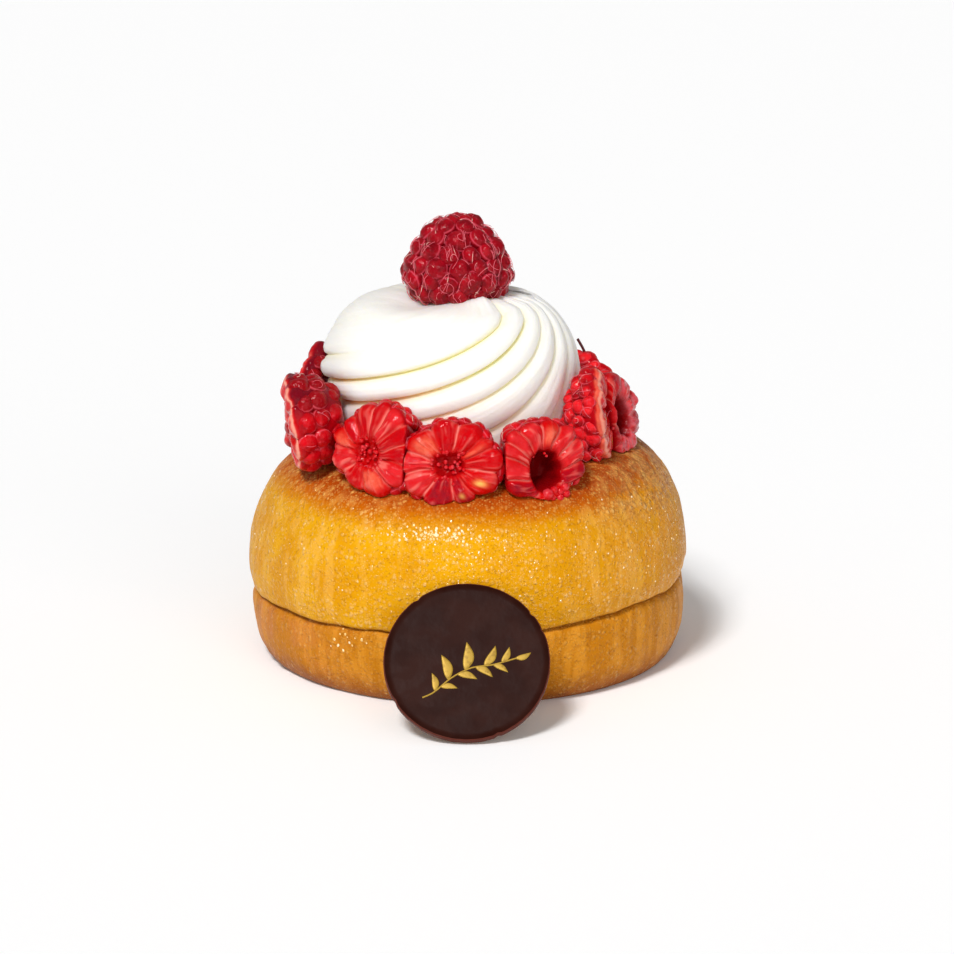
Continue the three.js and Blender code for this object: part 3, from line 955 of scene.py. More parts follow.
@dataclass
class Cake:
    """The ring cake: a moulded foot, a creased lip and a dome above it."""

    foot_radius: float = 35.6
    lower_radius: float = 39.5
    lower_height: float = 9.0
    foot_roundness: float = 1.8
    crease_radius: float = 38.5
    crease_height: float = 13.0
    dome_radius: float = 40.1
    dome_top: float = 38.6
    tilt: float = 1.0
    tilt_start: float = 5.0
    # Depth and width of each kind of bump, and its pattern; the foot's are drawn out upwards.
    lumps: tuple = ((0.28, 9.0, 1.0), (0.1, 3.0, 5.0), (0.05, 1.5, 6.0))
    streaks: tuple = ((0.16, 2.4, 2.0, 0.25), (0.1, 4.0, 4.0, 1.0))
    columns: int = 500
    foot_rows: int = 44
    groove_rows: int = 14
    dome_rows: int = 130

    def outline(self) -> np.ndarray:
        """Gives radius and height from the foot's edge to the top's middle."""
        round_angles = np.linspace(0, math.pi / 2, self.foot_rows)
        power = 2 / self.foot_roundness
        foot = np.column_stack(
            [
                self.foot_radius + (self.lower_radius - self.foot_radius) * np.sin(round_angles) ** power,
                self.lower_height * (1 - np.cos(round_angles) ** power),
            ]
        )
        lip = self.crease_height
        groove = spline(
            [
                (self.lower_radius, self.lower_height + 0.6),
                (self.lower_radius - 0.3, lip - 1.1),
                (self.crease_radius - 0.1, lip - 0.25),
                (self.crease_radius - 0.5, lip),
                (self.crease_radius + 0.3, lip + 0.1),
                (self.dome_radius - 0.75, lip + 0.6),
            ],
            self.groove_rows,
        )
        return np.vstack([foot, groove, spline(self.dome_points(), self.dome_rows)])

    def dome_points(self) -> list[tuple[float, float]]:
        """Gives radius and height of points up the dome."""
        r, top = self.dome_radius, self.dome_top
        return [
            (r - 0.6, self.crease_height + 1.2),
            (r, 18.0),
            (r - 0.6, 24.0),
            (r - 2.6, 29.5),
            (r - 5.5, 34.0),
            (r - 9.5, 37.2),
            (r - 15.0, top),
            (r - 26.0, top - 0.3),
        ]

    def crease_at(self, angles: np.ndarray) -> np.ndarray:
        """Gives how far the crease lies above its mean height at each angle round."""
        edge = around(angles, self.dome_radius, 0.0)
        return 0.7 + 0.45 * np.sin(angles) + 0.75 * uneven(edge, 14.0, 3.1) + 0.3 * uneven(edge, 5.0, 8.4)

    def build(self, crust: Material) -> Object:
        """Turns the outline round and makes it uneven.

        Args:
            crust: The crust's material.

        Returns:
            The cake.
        """
        outline = self.outline()
        angles = np.arange(self.columns) * FULL_TURN / self.columns
        radius, height = (np.repeat(outline[:, k : k + 1], self.columns, axis=1) for k in (0, 1))
        angle = np.repeat(angles[None], len(outline), axis=0)
        above = smooth(height, self.tilt_start, self.crease_height)
        from_crease = height - self.crease_height
        radius = radius * (1 + above * (0.005 * np.sin(3 * angle + 1) + 0.004 * np.sin(7 * angle)))
        near = np.exp(-((from_crease / 4.5) ** 2))
        tilted = above * self.tilt * (radius * np.sin(angle)) / self.dome_radius
        height = height + near * self.crease_at(angles)[None] + tilted
        place = around(angle, radius, height)
        below = (from_crease < 0) & (height > 0.2)
        lumps = sum(deep * uneven(place, size, seed) for deep, size, seed in self.lumps)
        for deep, size, seed, squash in self.streaks:
            lumps += below * deep * uneven(place * (1, 1, squash), size, seed)
        slope = np.gradient(outline, axis=0)
        normal = np.column_stack([slope[:, 1], -slope[:, 0]])
        normal /= np.linalg.norm(normal, axis=1)[:, None]
        out, up = normal[:, :1], normal[:, 1:]
        push = lumps * smooth(height, 0.0, 2.0)
        rings = place + around(angle, push * out, push * up)
        foot = smooth(from_crease, 0.12, -0.12)
        # Crease marks where the crust is painted brown as shade under the lip.
        crease = np.exp(-((from_crease / 0.32) ** 2))
        return ringed_piece("savarin_cake", rings, crust, foot=foot, crease=crease)


@dataclass
class SyrupDrops:
    """Drops of syrup on the crust: a patch on the dome's front, some under the crease, a few all over."""

    # How many, their mean angle and height, how far they spread in each, and their size.
    patches: tuple = (
        (120, -8.0, 31.0, 6.5, 0.75, 0.17),
        (60, 6.0, 30.0, 12.0, 1.5, 0.11),
        (16, -33.5, 11.0, 4.5, 1.2, 0.17),
        (170, 10.0, 25.0, 80.0, 5.0, 0.12),
    )
    far: float = 80.0

    def build(self, cake: Object, syrup: Material) -> Object:
        """Finds the crust under each drop and sets the drops on it.

        Args:
            cake: The finished cake.
            syrup: The syrup's material.

        Returns:
            The drops, as one piece.
        """
        bpy.context.view_layer.update()
        rng = np.random.default_rng(21)
        spots = []
        for count, at, level, spread, rise, size in self.patches:
            for _ in range(count):
                turn = math.radians(at + spread * rng.normal())
                height = min(max(level + rise * rng.normal(), 2.0), 34.5)
                out = Vector((math.sin(turn), -math.cos(turn), 0.0))
                start = out * self.far + Vector((0.0, 0.0, height))
                hit, place, normal, _ = cake.ray_cast(start * MM, -out)
                radius = size * rng.uniform(0.6, 1.5)
                if hit:
                    out_of_crust = np.array(normal)
                    middle = np.array(place) / MM + 0.1 * radius * out_of_crust
                    spots.append((middle, out_of_crust, radius))
        drops = Balls(segments=8, rings=6, thickness=0.55, stretch=1.25, size_change=0.2, lumps=0.0)
        return drops.build("syrup_drops", spots, syrup)


# ---- Whipped cream ----


@dataclass
class Rosette:
    """The piped rosette: ridges that fan out from a pole and wind down to the left."""

    columns: int = 490
    rows: int = 196
    front_ridges: int = 12
    back_ridges: int = 2
    ridge_depth: float = 1.9
    ridge_sharpness: float = 0.62
    ridge_lean: float = 1.2
    lip: float = 0.13
    pole_x: float = 9.0
    pole_y: float = 0.7
    pole_share: float = 0.6
    # How far the ridges turn, in radians, by centimetres of outline above the origin: a cubic.
    twist_origin: float = 21.6
    twist_1: float = 0.861
    twist_2: float = -0.088
    twist_3: float = -0.094
    twist_low: float = -1.2
    twist_high: float = 1.25
    # Where round the rosette the ridges are closer, or turn further the higher they are.
    crowding: float = 0.38
    crowding_angle: float = 1.11
    unevenness: float = 0.31
    unevenness_angle: float = -1.437
    curling: float = 0.25
    curling_angle: float = 0.967
    uneven_low: float = -1.0
    uneven_high: float = 1.2
    back_from: float = 1.92
    back_width: float = 3.05
    phase: float = 1.323
    brush: float = 0.2
    ridge_change: float = 0.55
    soft_from: float = 0.5
    # Which ridges melt away near the top, by number, and from what share of the outline.
    melting: float = 0.9
    melting_from: float = 10.5
    melting_to: float = 13.55
    melting_ramp: float = 0.9
    melting_end: float = 13.25
    melting_low: float = 0.42
    melting_high: float = 0.56
    side_dent: float = 2.4
    side_x: float = -26.0
    side_z: float = 47.5
    side_width: float = 3.6
    dent: float = 1.6
    dent_x: float = -9.0
    dent_y: float = -5.0
    dent_width: float = 6.0
    tip: float = 1.0
    tip_x: float = 2.4
    tip_y: float = -8.6
    tip_width: float = 2.6
    solve_steps: int = 26
    solve_share: float = 0.6
    outline: tuple = (
        (20.5, 33.0),
        (21.6, 38.0),
        (23.4, 44.0),
        (23.9, 50.0),
        (22.9, 56.0),
        (20.8, 60.5),
        (18.2, 63.5),
        (15.0, 65.3),
        (10.0, 66.3),
        (3.0, 66.6),
    )
    middle: tuple = (-3.5, 0.0)

    def ridge_number(self, n: dict[str, Field], angle: Field, radius: Field, along: Field) -> Field:
        """Gives where a place lies in the pattern of ridges, whole in the valleys.

        Args:
            n: The tree's named inputs.
            angle: Angle round the rosette.
            radius: Distance from its axis.
            along: Length of outline below the place.

        Returns:
            The ridge's number and the share of it that is passed.
        """
        reach = (radius * n["pole_share"] / n["pole_x"]).clip(0.0, 1.0)
        right = radius * angle.sin() - n["pole_x"] * reach
        forward = radius * angle.cos() + n["pole_y"] * reach
        lag = right.atan2(forward) - angle
        fan = angle + lag.sin().atan2(lag.cos())
        height = (along - n["twist_origin"]) / 10.0
        held = height.clip(n["twist_low"], n["twist_high"])
        slope = n["twist_1"] + 2.0 * n["twist_2"] * held + 3.0 * n["twist_3"] * held * held
        bend = n["twist_1"] * held + n["twist_2"] * held * held + n["twist_3"] * held * held * held
        twist = bend + slope * (height - held)
        near = height.clip(n["uneven_low"], n["uneven_high"])
        turn = (
            fan
            + n["crowding"] * (fan - n["crowding_angle"]).sin()
            - twist
            - n["unevenness"] * near * (fan - n["unevenness_angle"]).cos()
            - n["curling"] * near * near * (fan - n["curling_angle"]).cos()
            + n["phase"]
        )
        behind = (fan - n["back_from"]) / FULL_TURN
        turns = behind.floor()
        share = ((behind - turns) * FULL_TURN / n["back_width"]).rise(0.0, 1.0)
        return n["front_ridges"] * turn / FULL_TURN + n["back_ridges"] * (turns + share)

    def angle_at(self, n: dict[str, Field], number: Field, radius: Field, along: Field) -> Field:
        """Finds the angle at which the pattern of ridges reaches a number.

        Args:
            n: The tree's named inputs.
            number: The ridge's number and the share of it that is passed.
            radius: Distance from the rosette's axis.
            along: Length of outline below the place.

        Returns:
            The angle, after a fixed number of steps that each come closer.
        """
        tree = number.socket.id_data
        evenly = number * FULL_TURN / (n["front_ridges"] + n["back_ridges"])
        begin = tree.nodes.new("GeometryNodeRepeatInput")
        end = tree.nodes.new("GeometryNodeRepeatOutput")
        begin.pair_with_output(end)
        end.repeat_items.clear()
        end.repeat_items.new("FLOAT", "Angle")
        tree.links.new(n["solve_steps"].socket, begin.inputs["Iterations"])
        tree.links.new(evenly.socket, begin.inputs["Angle"])
        angle = Field(begin.outputs["Angle"])
        missing = number - self.ridge_number(n, angle, radius, along)
        better = angle + missing * self.solve_share * FULL_TURN / (self.front_ridges + self.back_ridges)
        tree.links.new(better.socket, end.inputs["Angle"])
        return Field(end.outputs["Angle"])

    def build(self, cream: Material) -> Object:
        """Makes the rosette with a node tree that places each column along a ridge.

        Args:
            cream: The cream's material.

        Returns:
            The rosette.
        """
        shape = Shape("piped_rosette")
        tree = shape.tree
        n = shape.numbers(self)
        counts = {"Vertices X": n["columns"] + 1.0, "Vertices Y": n["rows"] + 1.0}
        grid = output(tree, "GeometryNodeMeshGrid", {"Size X": 1.0, "Size Y": 1.0, **counts})
        u, v, _ = split(tree, output(tree, "GeometryNodeInputPosition"))
        row = (v + 0.5) * n["rows"]
        share = ((row - 1.0) / (n["rows"] - 2.0)).clip(0.0, 1.0)
        open_row = row.rise(0.2, 0.8) * (n["rows"] - row).rise(0.2, 0.8)
        ridges = n["front_ridges"] + n["back_ridges"]
        number = (u + 0.5) * ridges
        within = (number + 1e-4).fract()
        line = output(tree, "GeometryNodeMeshToCurve", {0: shape.start.outputs[0]})
        length = output(tree, "GeometryNodeCurveLength", {0: line})
        sample = add(tree, "GeometryNodeSampleCurve", {"Curves": line, "Factor": share}, mode="FACTOR")
        radius, _, height = split(tree, sample.outputs["Position"])
        run, _, climb = split(tree, sample.outputs["Tangent"])
        fade = 1.0 - share.rise(n["soft_from"], 0.98)
        crest = (within**n["ridge_lean"] * math.pi).sin().clip(0.0, 1.0) ** n["ridge_sharpness"]
        overhang = (within * within * within * math.pi).sin()
        melted = number.rise(n["melting_from"], n["melting_from"] + n["melting_ramp"])
        melted = melted * number.rise(n["melting_to"], n["melting_end"])
        firm = 1.0 - n["melting"] * melted * share.rise(n["melting_low"], n["melting_high"])
        reached = number + n["lip"] * overhang * overhang * fade * firm
        angle = self.angle_at(n, reached, radius, share * length)
        turned = number * FULL_TURN / ridges
        brushed = joined(tree, turned.cos() * 13.0, turned.sin() * 13.0, share * 5.0)
        marks = output(tree, "ShaderNodeTexNoise", {"Vector": brushed, "Scale": 1.0, "Detail": 3.0})
        turning = joined(tree, turned.cos() * 1.6, turned.sin() * 1.6, share * 2.4)
        change = output(tree, "ShaderNodeTexNoise", {"Vector": turning, "Scale": 1.0})
        groove = (0.25 + 0.75 * fade) * firm * (1.0 - change.rise(0.45, 0.7) * n["ridge_change"])
        depth = n["ridge_depth"] * groove * (1.0 - crest) + n["brush"] * (marks - 0.5) * 2.0
        left = radius * angle.sin() + self.middle[0]
        off = (left - n["side_x"]) * 0.7
        pushed = self.hill(off, height - n["side_z"], self.side_width) * n["side_dent"]
        ring = (radius - pushed - depth * climb) * open_row
        x = ring * angle.sin() + self.middle[0]
        y = ring * angle.cos() * -1.0 + self.middle[1]
        high = share.rise(0.6, 0.75)
        dent = self.hill(x - n["dent_x"], y - n["dent_y"], self.dent_width) * n["dent"]
        tip = self.hill(x - n["tip_x"], y - n["tip_y"], self.tip_width) * n["tip"]
        level = height + depth * run * open_row + (tip - dent) * high
        place = joined(tree, x * MM, y * MM, level * MM)
        valley = {"Geometry": grid, "Name": "valley", "Value": (1.0 - crest) ** 1.6 * groove}
        stored = output(tree, "GeometryNodeStoreNamedAttribute", valley)
        moved = output(tree, "GeometryNodeSetPosition", {"Geometry": stored, "Position": place})
        welded = {"Geometry": moved, "Distance": 1e-6}
        shape.finish(output(tree, "GeometryNodeMergeByDistance", welded), cream)
        outline = spline(self.outline, 120)
        return shape.run("cream_rosette", polylines("rosette_outline", [np.insert(outline, 1, 0, axis=1)]))

    def hill(self, x: Field, y: Field, width: float) -> Field:
        """Gives one at the place where x and y are nought, and less further away."""
        return BELL_BASE ** ((x * x + y * y) * (-1.0 / width**2))


# ---- Raspberries ----


def hair(
    root: np.ndarray, out: np.ndarray, way: float, length: float, curl: float, over: float = 8.0
) -> np.ndarray:
    """Gives the path of one style that lies over a berry.

    Args:
        root: Where its middle lies, in millimetres.
        out: Way out of the berry.
        way: Angle of the thread round `out`, from straight up.
        length: Its length in millimetres.
        curl: How far it turns from end to end, in radians.
        over: Radius of the berry under it.

    Returns:
        Points along it.
    """
    out = unit(out)
    side = np.cross((0.0, 0.0, 1.0), out)
    side = side / max(np.linalg.norm(side), 1e-3)
    rise = np.cross(out, side)
    t = np.linspace(-0.5, 0.5, 14)
    heading = way + curl * t * (1 + 0.5 * t)
    steps = np.column_stack([np.cos(heading), np.sin(heading)]) * length / (len(t) - 1)
    flat = np.cumsum(steps, axis=0)
    flat -= flat.mean(axis=0)
    lift = 0.12 + 0.12 * np.cos(t * math.pi) - (flat**2).sum(axis=1) / (2 * over)
    return root + flat[:, :1] * rise + flat[:, 1:] * side + lift[:, None] * out


@dataclass(frozen=True)
class Down:
    """How threads are scattered over drupelets: lengths in millimetres, angles in radians."""

    count: tuple
    lean: float
    curls: tuple
    chances: tuple
    sunk: float
    length: tuple
    over: float
    upright: bool

    def paths(self, spots: Spots, rng: np.random.Generator) -> list[np.ndarray]:
        """Scatters threads over drupelets.

        Args:
            spots: Place, way out and radius of each drupelet.
            rng: Where the random numbers come from.

        Returns:
            Points along each thread.
        """
        found = []
        for place, out, size in spots:
            for _ in range(rng.integers(*self.count)):
                lean = unit(out + rng.normal(0, self.lean, 3))
                curl = rng.choice(self.curls, p=self.chances) * rng.choice([-1, 1])
                root = place + lean * (size - self.sunk)
                way = rng.normal(0, 0.5) if self.upright else rng.uniform(0, math.pi)
                found.append(hair(root, lean, way, rng.uniform(*self.length), curl, self.over))
        return found


@dataclass
class TopBerry:
    """The whole raspberry on the cream: rings of drupelets over a rounded cone."""

    middle: tuple = (-2.1, 0.0)
    seat: float = 65.0
    height: float = 16.1
    radius: float = 10.2
    widest: float = 0.3
    foot_turn_in: float = 0.07
    roundness: float = 0.68
    squareness: float = 1.34
    drupelet: float = 2.3
    sunk: float = 2.1
    # Height in millimetres, how many drupelets and the turn of the first, in degrees.
    rows: tuple = (
        (66.3, 14, 3.0),
        (69.3, 15, 16.0),
        (72.4, 14, 2.0),
        (75.2, 11, 20.0),
        (77.6, 8, 2.0),
        (79.4, 5, 30.0),
    )
    # Row, place in it and size of the drupelets that stand out.
    big: tuple = ((1, 0, 1.22), (0, 12, 1.12), (2, 3, 1.1), (2, 10, 1.15), (4, 0, 1.15))
    size_range: tuple = (0.82, 1.06)
    turn_change: float = 0.05
    level_change: float = 0.45
    down: Down = Down((2, 7), 0.45, (0.3, 1.2, 3.2), (0.45, 0.4, 0.15), 0.12, (1.4, 4.2), 4.5, True)

    def width(self, z: np.ndarray | float) -> np.ndarray:
        """Gives the berry's radius at a height."""
        share = np.clip((np.asarray(z, float) - self.seat) / self.height, 0.0, 1.0)
        foot = 1 - self.foot_turn_in * np.maximum(0, 1 - share / self.widest) ** 2
        round_share = np.abs(share - self.widest) / self.roundness
        return self.radius * foot * np.sqrt(np.maximum(0, 1 - round_share**self.squareness))

    def spots(self) -> Spots:
        """Gives place, way out and radius of each drupelet."""
        rng = np.random.default_rng(11)
        sizes = {(row, place): size for row, place, size in self.big}
        found = []
        for row, (z, count, first) in enumerate(self.rows):
            for place in range(count):
                turn = math.radians(first) + FULL_TURN * place / count
                level = z
                size = sizes.get((row, place))
                if size is None:
                    size = rng.uniform(*self.size_range)
                    turn += rng.uniform(-self.turn_change, self.turn_change)
                    level += rng.uniform(-self.level_change, self.level_change)
                slope = (self.width(level + 0.3) - self.width(level - 0.3)) / 0.6
                out = unit(around(turn, 1.0, -float(slope)))
                edge = around(turn, float(self.width(level)), level) + (*self.middle, 0.0)
                found.append((edge - out * self.sunk * size, out, self.drupelet * size))
        for x, y, size in ((-1.5, -1.6, 1.08), (1.6, -0.4, 0.95), (-0.4, 1.8, 0.95)):
            out = np.array([0.16 * x, 0.16 * y, 1.0])
            fall = 0.3 + 0.12 * (x * x + y * y)
            top = np.array([self.middle[0] + x, y, self.seat + self.height - fall])
            found.append((top - out * self.sunk, out, self.drupelet * size))
        return found

    def hairs(self) -> list[np.ndarray]:
        """Gives threads over the drupelets, some straight and some curled."""
        return self.down.paths(self.spots(), np.random.default_rng(5))

    def build(self, skin: Material) -> Object:
        """Makes the drupelets and the core under them.

        Args:
            skin: The skin's material.

        Returns:
            The berry.
        """
        levels = np.linspace(self.seat + 0.6, self.seat + self.height - 2.0, 24)
        turns = np.arange(40) * FULL_TURN / 40
        reach = np.maximum(self.width(levels) - 1.8, 0.5)[:, None]
        rings = around(turns, reach, levels[:, None]) + (*self.middle, 0.0)
        # The core takes in full the crevice shade that the skin paints low on its drupelets.
        core = ringed_piece("raspberry_core", rings, skin, rim=np.ones(rings.shape[:2]))
        drupelets = Balls(segments=22, rings=14, size_change=0.1, lumps=0.1, lump_size=1.3)
        return drupelets.build("whole_raspberry", self.spots(), skin, core)


class Tone(Enum):
    """Colour of a cell in cut flesh; the value is the measure that the flesh reads."""

    RED = "red"
    CORAL = "coral"
    PEACH = "peach"
    PLUM = "plum"


@dataclass(frozen=True)
class Cell:
    """One cell of cut flesh, from its start to the next cell's.

    The start is in degrees, clockwise from straight up. The seed is how far out a seed shows,
    as a share of the radius. The size is the berry's there, as a share of its radius. The pale
    is how clear the wall at the start is; at nought it is left to chance.
    """

    start: float
    tone: Tone = Tone.RED
    seed: float = 0.0
    size: float = 1.0
    pale: float = 0.0


def cells(*rows: tuple) -> tuple[Cell, ...]:
    """Gives cells, in order round, from rows that hold the fields of each."""
    return tuple(Cell(*row) for row in rows)


@dataclass(frozen=True)
class CutFace:
    """Where each point of a cut berry lies: by column, then by ring and column."""

    turns: np.ndarray
    index: np.ndarray
    from_wall: np.ndarray
    reach: np.ndarray
    depth: np.ndarray
    on_face: np.ndarray
    fine: np.ndarray


@dataclass
class CutBerry:
    """A cut raspberry that leans on the cream with its cut face outwards.

    It stands `at` an angle round the cake in degrees, and `out` and `up` from the usual place in
    millimetres. Its face turns to the side and leans back in degrees. `wide` and `tall` are
    shares of the usual size. `press` is how far it pushes its neighbours, in millimetres.
    """

    number: int
    at: float
    out: float
    up: float
    turn: float
    lean: float
    wide: float
    tall: float
    hollow: bool = False
    core: tuple = (0.0, 0.0)
    cells: tuple = ()
    skin_size: float = 1.0
    press: float = 0.0
    sunk: float = 0.8
    pale_edge: float = 0.0
    pink_edge: float = 0.0
    droop: float = 0.0
    heart_dark: float = 0.6
    cluster: tuple = ()
    drupelet: float = 1.9
    face_radius: float = 31.6
    face_height: float = 43.0
    radius: float = 8.7
    depth: float = 9.2
    middle_depth: float = 3.5
    rim: float = 1.3
    notch: float = 0.14
    bulge: float = 0.75
    heart: float = 2.5
    heart_depth: float = 1.0
    hole: float = 3.1
    hole_tall: float = 1.35
    hole_depth: float = 4.2
    warp: float = 0.45
    ragged: float = 0.22
    wrinkle: float = 0.26
    blot: float = 0.4
    shrink: float = 0.13
    wall_width: float = 0.18
    seed_width: float = 0.62
    seed_length: float = 8.7 / 10.5
    face_threads: int = 3
    columns: int = 264
    down: Down = Down((0, 3), 0.3, (0.4, 1.5, 4.0), (0.35, 0.4, 0.25), 0.25, (1.5, 3.4), 3.0, False)

    def place(self) -> Matrix:
        """Gives where the cut face is, with +X to its right, +Z up and -Y out of it."""
        return (
            Matrix.Rotation(math.radians(self.at), 4, "Z")
            @ Matrix.Translation((0, -(self.face_radius + self.out), self.face_height + self.up))
            @ Matrix.Rotation(math.radians(self.turn), 4, "Z")
            @ Matrix.Rotation(-math.radians(self.lean), 4, "X")
            @ Matrix.Diagonal((self.wide, 1, self.tall, 1))
        )

    def middle(self) -> np.ndarray:
        """Gives the middle of the berry."""
        return np.array(self.place() @ Vector((0, self.middle_depth, 0)))

    def own_cells(self) -> tuple[Cell, ...]:
        """Gives the cells, made up where none are named."""
        if self.cells:
            return self.cells
        rng = np.random.default_rng(100 + self.number)
        starts = np.arange(9) * 40.0 + rng.uniform(-8, 8, 9) + 15.0
        tones = [Tone.RED, Tone.RED, Tone.CORAL, Tone.PEACH, Tone.CORAL]
        picked = rng.integers(0, len(tones), 9)
        seeds = np.where(rng.uniform(size=9) < 0.3, rng.uniform(0.6, 0.78, 9), 0.0)
        return tuple(Cell(float(a), tones[k], float(g)) for a, k, g in zip(starts, picked, seeds))

    def edges(self) -> tuple[np.ndarray, np.ndarray]:
        """Gives the angles at which each cell starts and ends."""
        starts = np.radians([cell.start for cell in self.own_cells()])
        return starts, np.r_[starts[1:], starts[0] + FULL_TURN]

    def heart_share(self) -> float:
        """Gives the width of the heart or the hollow, as a share of the radius."""
        return (self.hole if self.hollow else self.heart) / self.radius

    def size_at(self, turns: np.ndarray) -> np.ndarray:
        """Gives the berry's size each way round its face, as a share of its radius."""
        sizes = np.array([cell.size for cell in self.own_cells()])
        sizes = sizes * np.random.default_rng(self.number).uniform(0.95, 1.03, len(sizes))
        starts, ends = self.edges()
        return np.interp(turns, (starts + ends) / 2, sizes, period=FULL_TURN)

    def profile(self) -> tuple[np.ndarray, np.ndarray]:
        """Gives reach from the heart, as a share of the rim's, and depth, of each ring."""
        depth = self.hole_depth if self.hollow else self.heart_depth
        share = self.heart_share()
        inner = np.linspace(0.06, 1.0, 13)
        power = 5.0 if self.hollow else 2.0
        face = np.linspace(share + 0.02, 1 - self.rim / self.radius, 24)
        bend = np.linspace(0.12, math.pi / 2, 9)
        back = np.linspace(0.08, math.pi / 2 - 0.05, 16)
        narrowed = 1 - self.shrink * smooth(back, 0.0, 0.35)
        over_rim = 1 - self.rim / self.radius * (1 - np.sin(bend))
        reach = [share * inner, face, over_rim, np.cos(back) ** 0.62 * narrowed]
        depths = [
            depth * (1 - inner**power) + 0.15,
            0 * face,
            self.rim * (1 - np.cos(bend)),
            self.rim + (self.depth - self.rim) * np.sin(back),
        ]
        return np.concatenate(reach), np.concatenate(depths)

    def build(self, flesh: Material, others: list[CutBerry], fit: Fit) -> Object:
        """Makes the cut berry.

        Args:
            flesh: The flesh's material.
            others: The berries on either side.
            fit: What presses on it.

        Returns:
            The berry, in place.
        """
        starts, ends = self.edges()
        turns = starts[0] + np.arange(self.columns) * FULL_TURN / self.columns
        index = np.searchsorted(starts, turns, side="right") - 1
        width = (ends - starts)[index]
        across = (turns - starts[index]) / width
        lobe = np.sin(math.pi * np.clip(across, 0, 1)) ** 0.5
        notched = 1 - self.notch * (1 - lobe)
        reach, depth = (np.repeat(v[:, None], self.columns, axis=1) for v in self.profile())
        share = self.heart_share()
        towards_rim = smooth(reach, share, 1.0)
        on_face = smooth(reach, share * 0.9, share + 0.12) * (depth < self.rim)
        deep_share = smooth(depth, self.rim, self.depth)
        heart_turn = np.column_stack([np.cos(turns), np.sin(turns), 0 * turns])
        wobble = 1 + self.ragged * uneven(heart_turn, 0.6, 3.0 * self.number)
        ragged = wobble[None] * (1 - towards_rim) + towards_rim
        eased = notched[None] + (1 - notched[None]) * np.maximum(deep_share, 1 - smooth(reach, 0.0, 0.8))
        spread = self.radius * self.size_at(turns)[None] * eased * reach * ragged
        shift = np.clip(1 - reach, 0, 1) * (depth < self.rim + 4.0 * self.hollow)
        taller = 1 + (self.hole_tall - 1) * self.hollow * (1 - towards_rim) * (depth < 7.0)
        x = spread * np.sin(turns) + self.core[0] * shift
        z = spread * taller * np.cos(turns) + self.core[1] * shift - self.droop * deep_share
        spot = np.stack([x, depth, z], axis=-1)
        x = x + self.warp * uneven(spot, 3.2, 11.0 * self.number + 1) * on_face
        z = z + self.warp * uneven(spot, 3.2, 11.0 * self.number + 2) * on_face
        spoke = np.stack(np.broadcast_arrays(3.2 * np.cos(turns), 3.2 * np.sin(turns), reach), axis=-1)
        fine = uneven(spoke * (1, 1, 1.6), 0.45, 7.0 * self.number)
        fine = fine + 0.55 * uneven(spoke * (2.1, 2.1, 1.4), 0.45, 5.0 * self.number)
        blot = uneven(np.stack([x, depth, z], axis=-1), 2.2, self.number)
        hump = self.bulge * lobe[None] ** 1.3 * (1 - 0.55 * smooth(reach, 0.72, 1.0))
        raised = hump + self.wrinkle * fine + self.blot * blot
        y = depth - on_face * raised + (1 - on_face) * 0.25 * blot * (reach < share)
        rings = placed(np.stack([x, y, z], axis=-1), self.place())
        rings = fit.pressed(rings.reshape(-1, 3), self, others).reshape(rings.shape)
        from_wall = np.minimum(across, 1 - across) * width
        measures = self.measures(CutFace(turns, index, from_wall, reach, depth, on_face, fine))
        return ringed_piece(f"cut_raspberry_{self.number:02d}", rings, flesh, **measures)

    def measures(self, face: CutFace) -> dict[str, np.ndarray]:
        """Gives the measures that the flesh reads: each tone, seeds, walls, rind, skin and the heart's
        painted shade.

        Args:
            face: Where each point lies.

        Returns:
            Each measure by ring and column, from 0 to 1.
        """
        rng = np.random.default_rng(200 + self.number)
        mine = self.own_cells()
        starts, ends = self.edges()
        middles = (starts + ends) / 2
        share, reach, depth = self.heart_share(), face.reach, face.depth
        behind = smooth(depth, 0.3, 1.1) * (reach > share * 1.05)
        plain = face.on_face * (1 - behind)
        pale = [0.5, 0.7, 0.9] if self.hollow else [0.08, 0.22, 0.6]
        walls = np.array([cell.pale or chance for cell, chance in zip(mine, rng.choice(pale, len(mine)))])
        strength = np.interp(face.turns, starts, walls, period=FULL_TURN)
        wall = np.exp(-((face.from_wall[None] * reach * self.radius / self.wall_width) ** 2)) * plain
        wall *= smooth(reach, share, 0.5) * strength[None]
        measures = {tone.value: np.zeros(reach.shape) for tone in Tone if tone is not Tone.RED}
        soft = smooth(face.from_wall, 0.0, 0.16)[None] * plain
        seed = np.zeros(reach.shape)
        glow = smooth(reach, share + 0.02, 0.55) * (1 - smooth(reach, 0.68, 0.93))
        for k, cell in enumerate(mine):
            inside = (face.index == k)[None]
            if cell.tone is Tone.RED:
                measures["plum"] += soft * inside * rng.choice([0.0, 0.2, 0.4])
            else:
                held = glow if cell.tone is Tone.PEACH else 1.0
                measures[cell.tone.value] += soft * inside * held
            if cell.seed:
                sideways = (face.turns - middles[k])[None] * reach * self.radius / self.seed_width
                far = np.hypot(sideways, (reach - cell.seed) * self.radius / self.seed_length)
                tight, clear = (1.5, 0.6) if cell.tone is Tone.PLUM else (1.0, 1.0)
                seed += clear * np.exp(-((far * tight) ** 2)) * plain * inside
        near_rim = smooth(reach, 0.84, 0.93) * (depth < self.rim)
        rim_side = self.pale_edge * smooth(depth, 1.3, 0.8) * near_rim
        measures["peach"] = np.maximum(measures["peach"], rim_side)
        pink, pale_line = smooth(depth, 0.46, 0.22), smooth(depth, 0.42, 0.2)
        rind = np.maximum(self.pink_edge * pink, self.pale_edge * pale_line) * near_rim
        inner = smooth(reach, share * 1.25, share * 0.85) * (reach < share * 1.3)
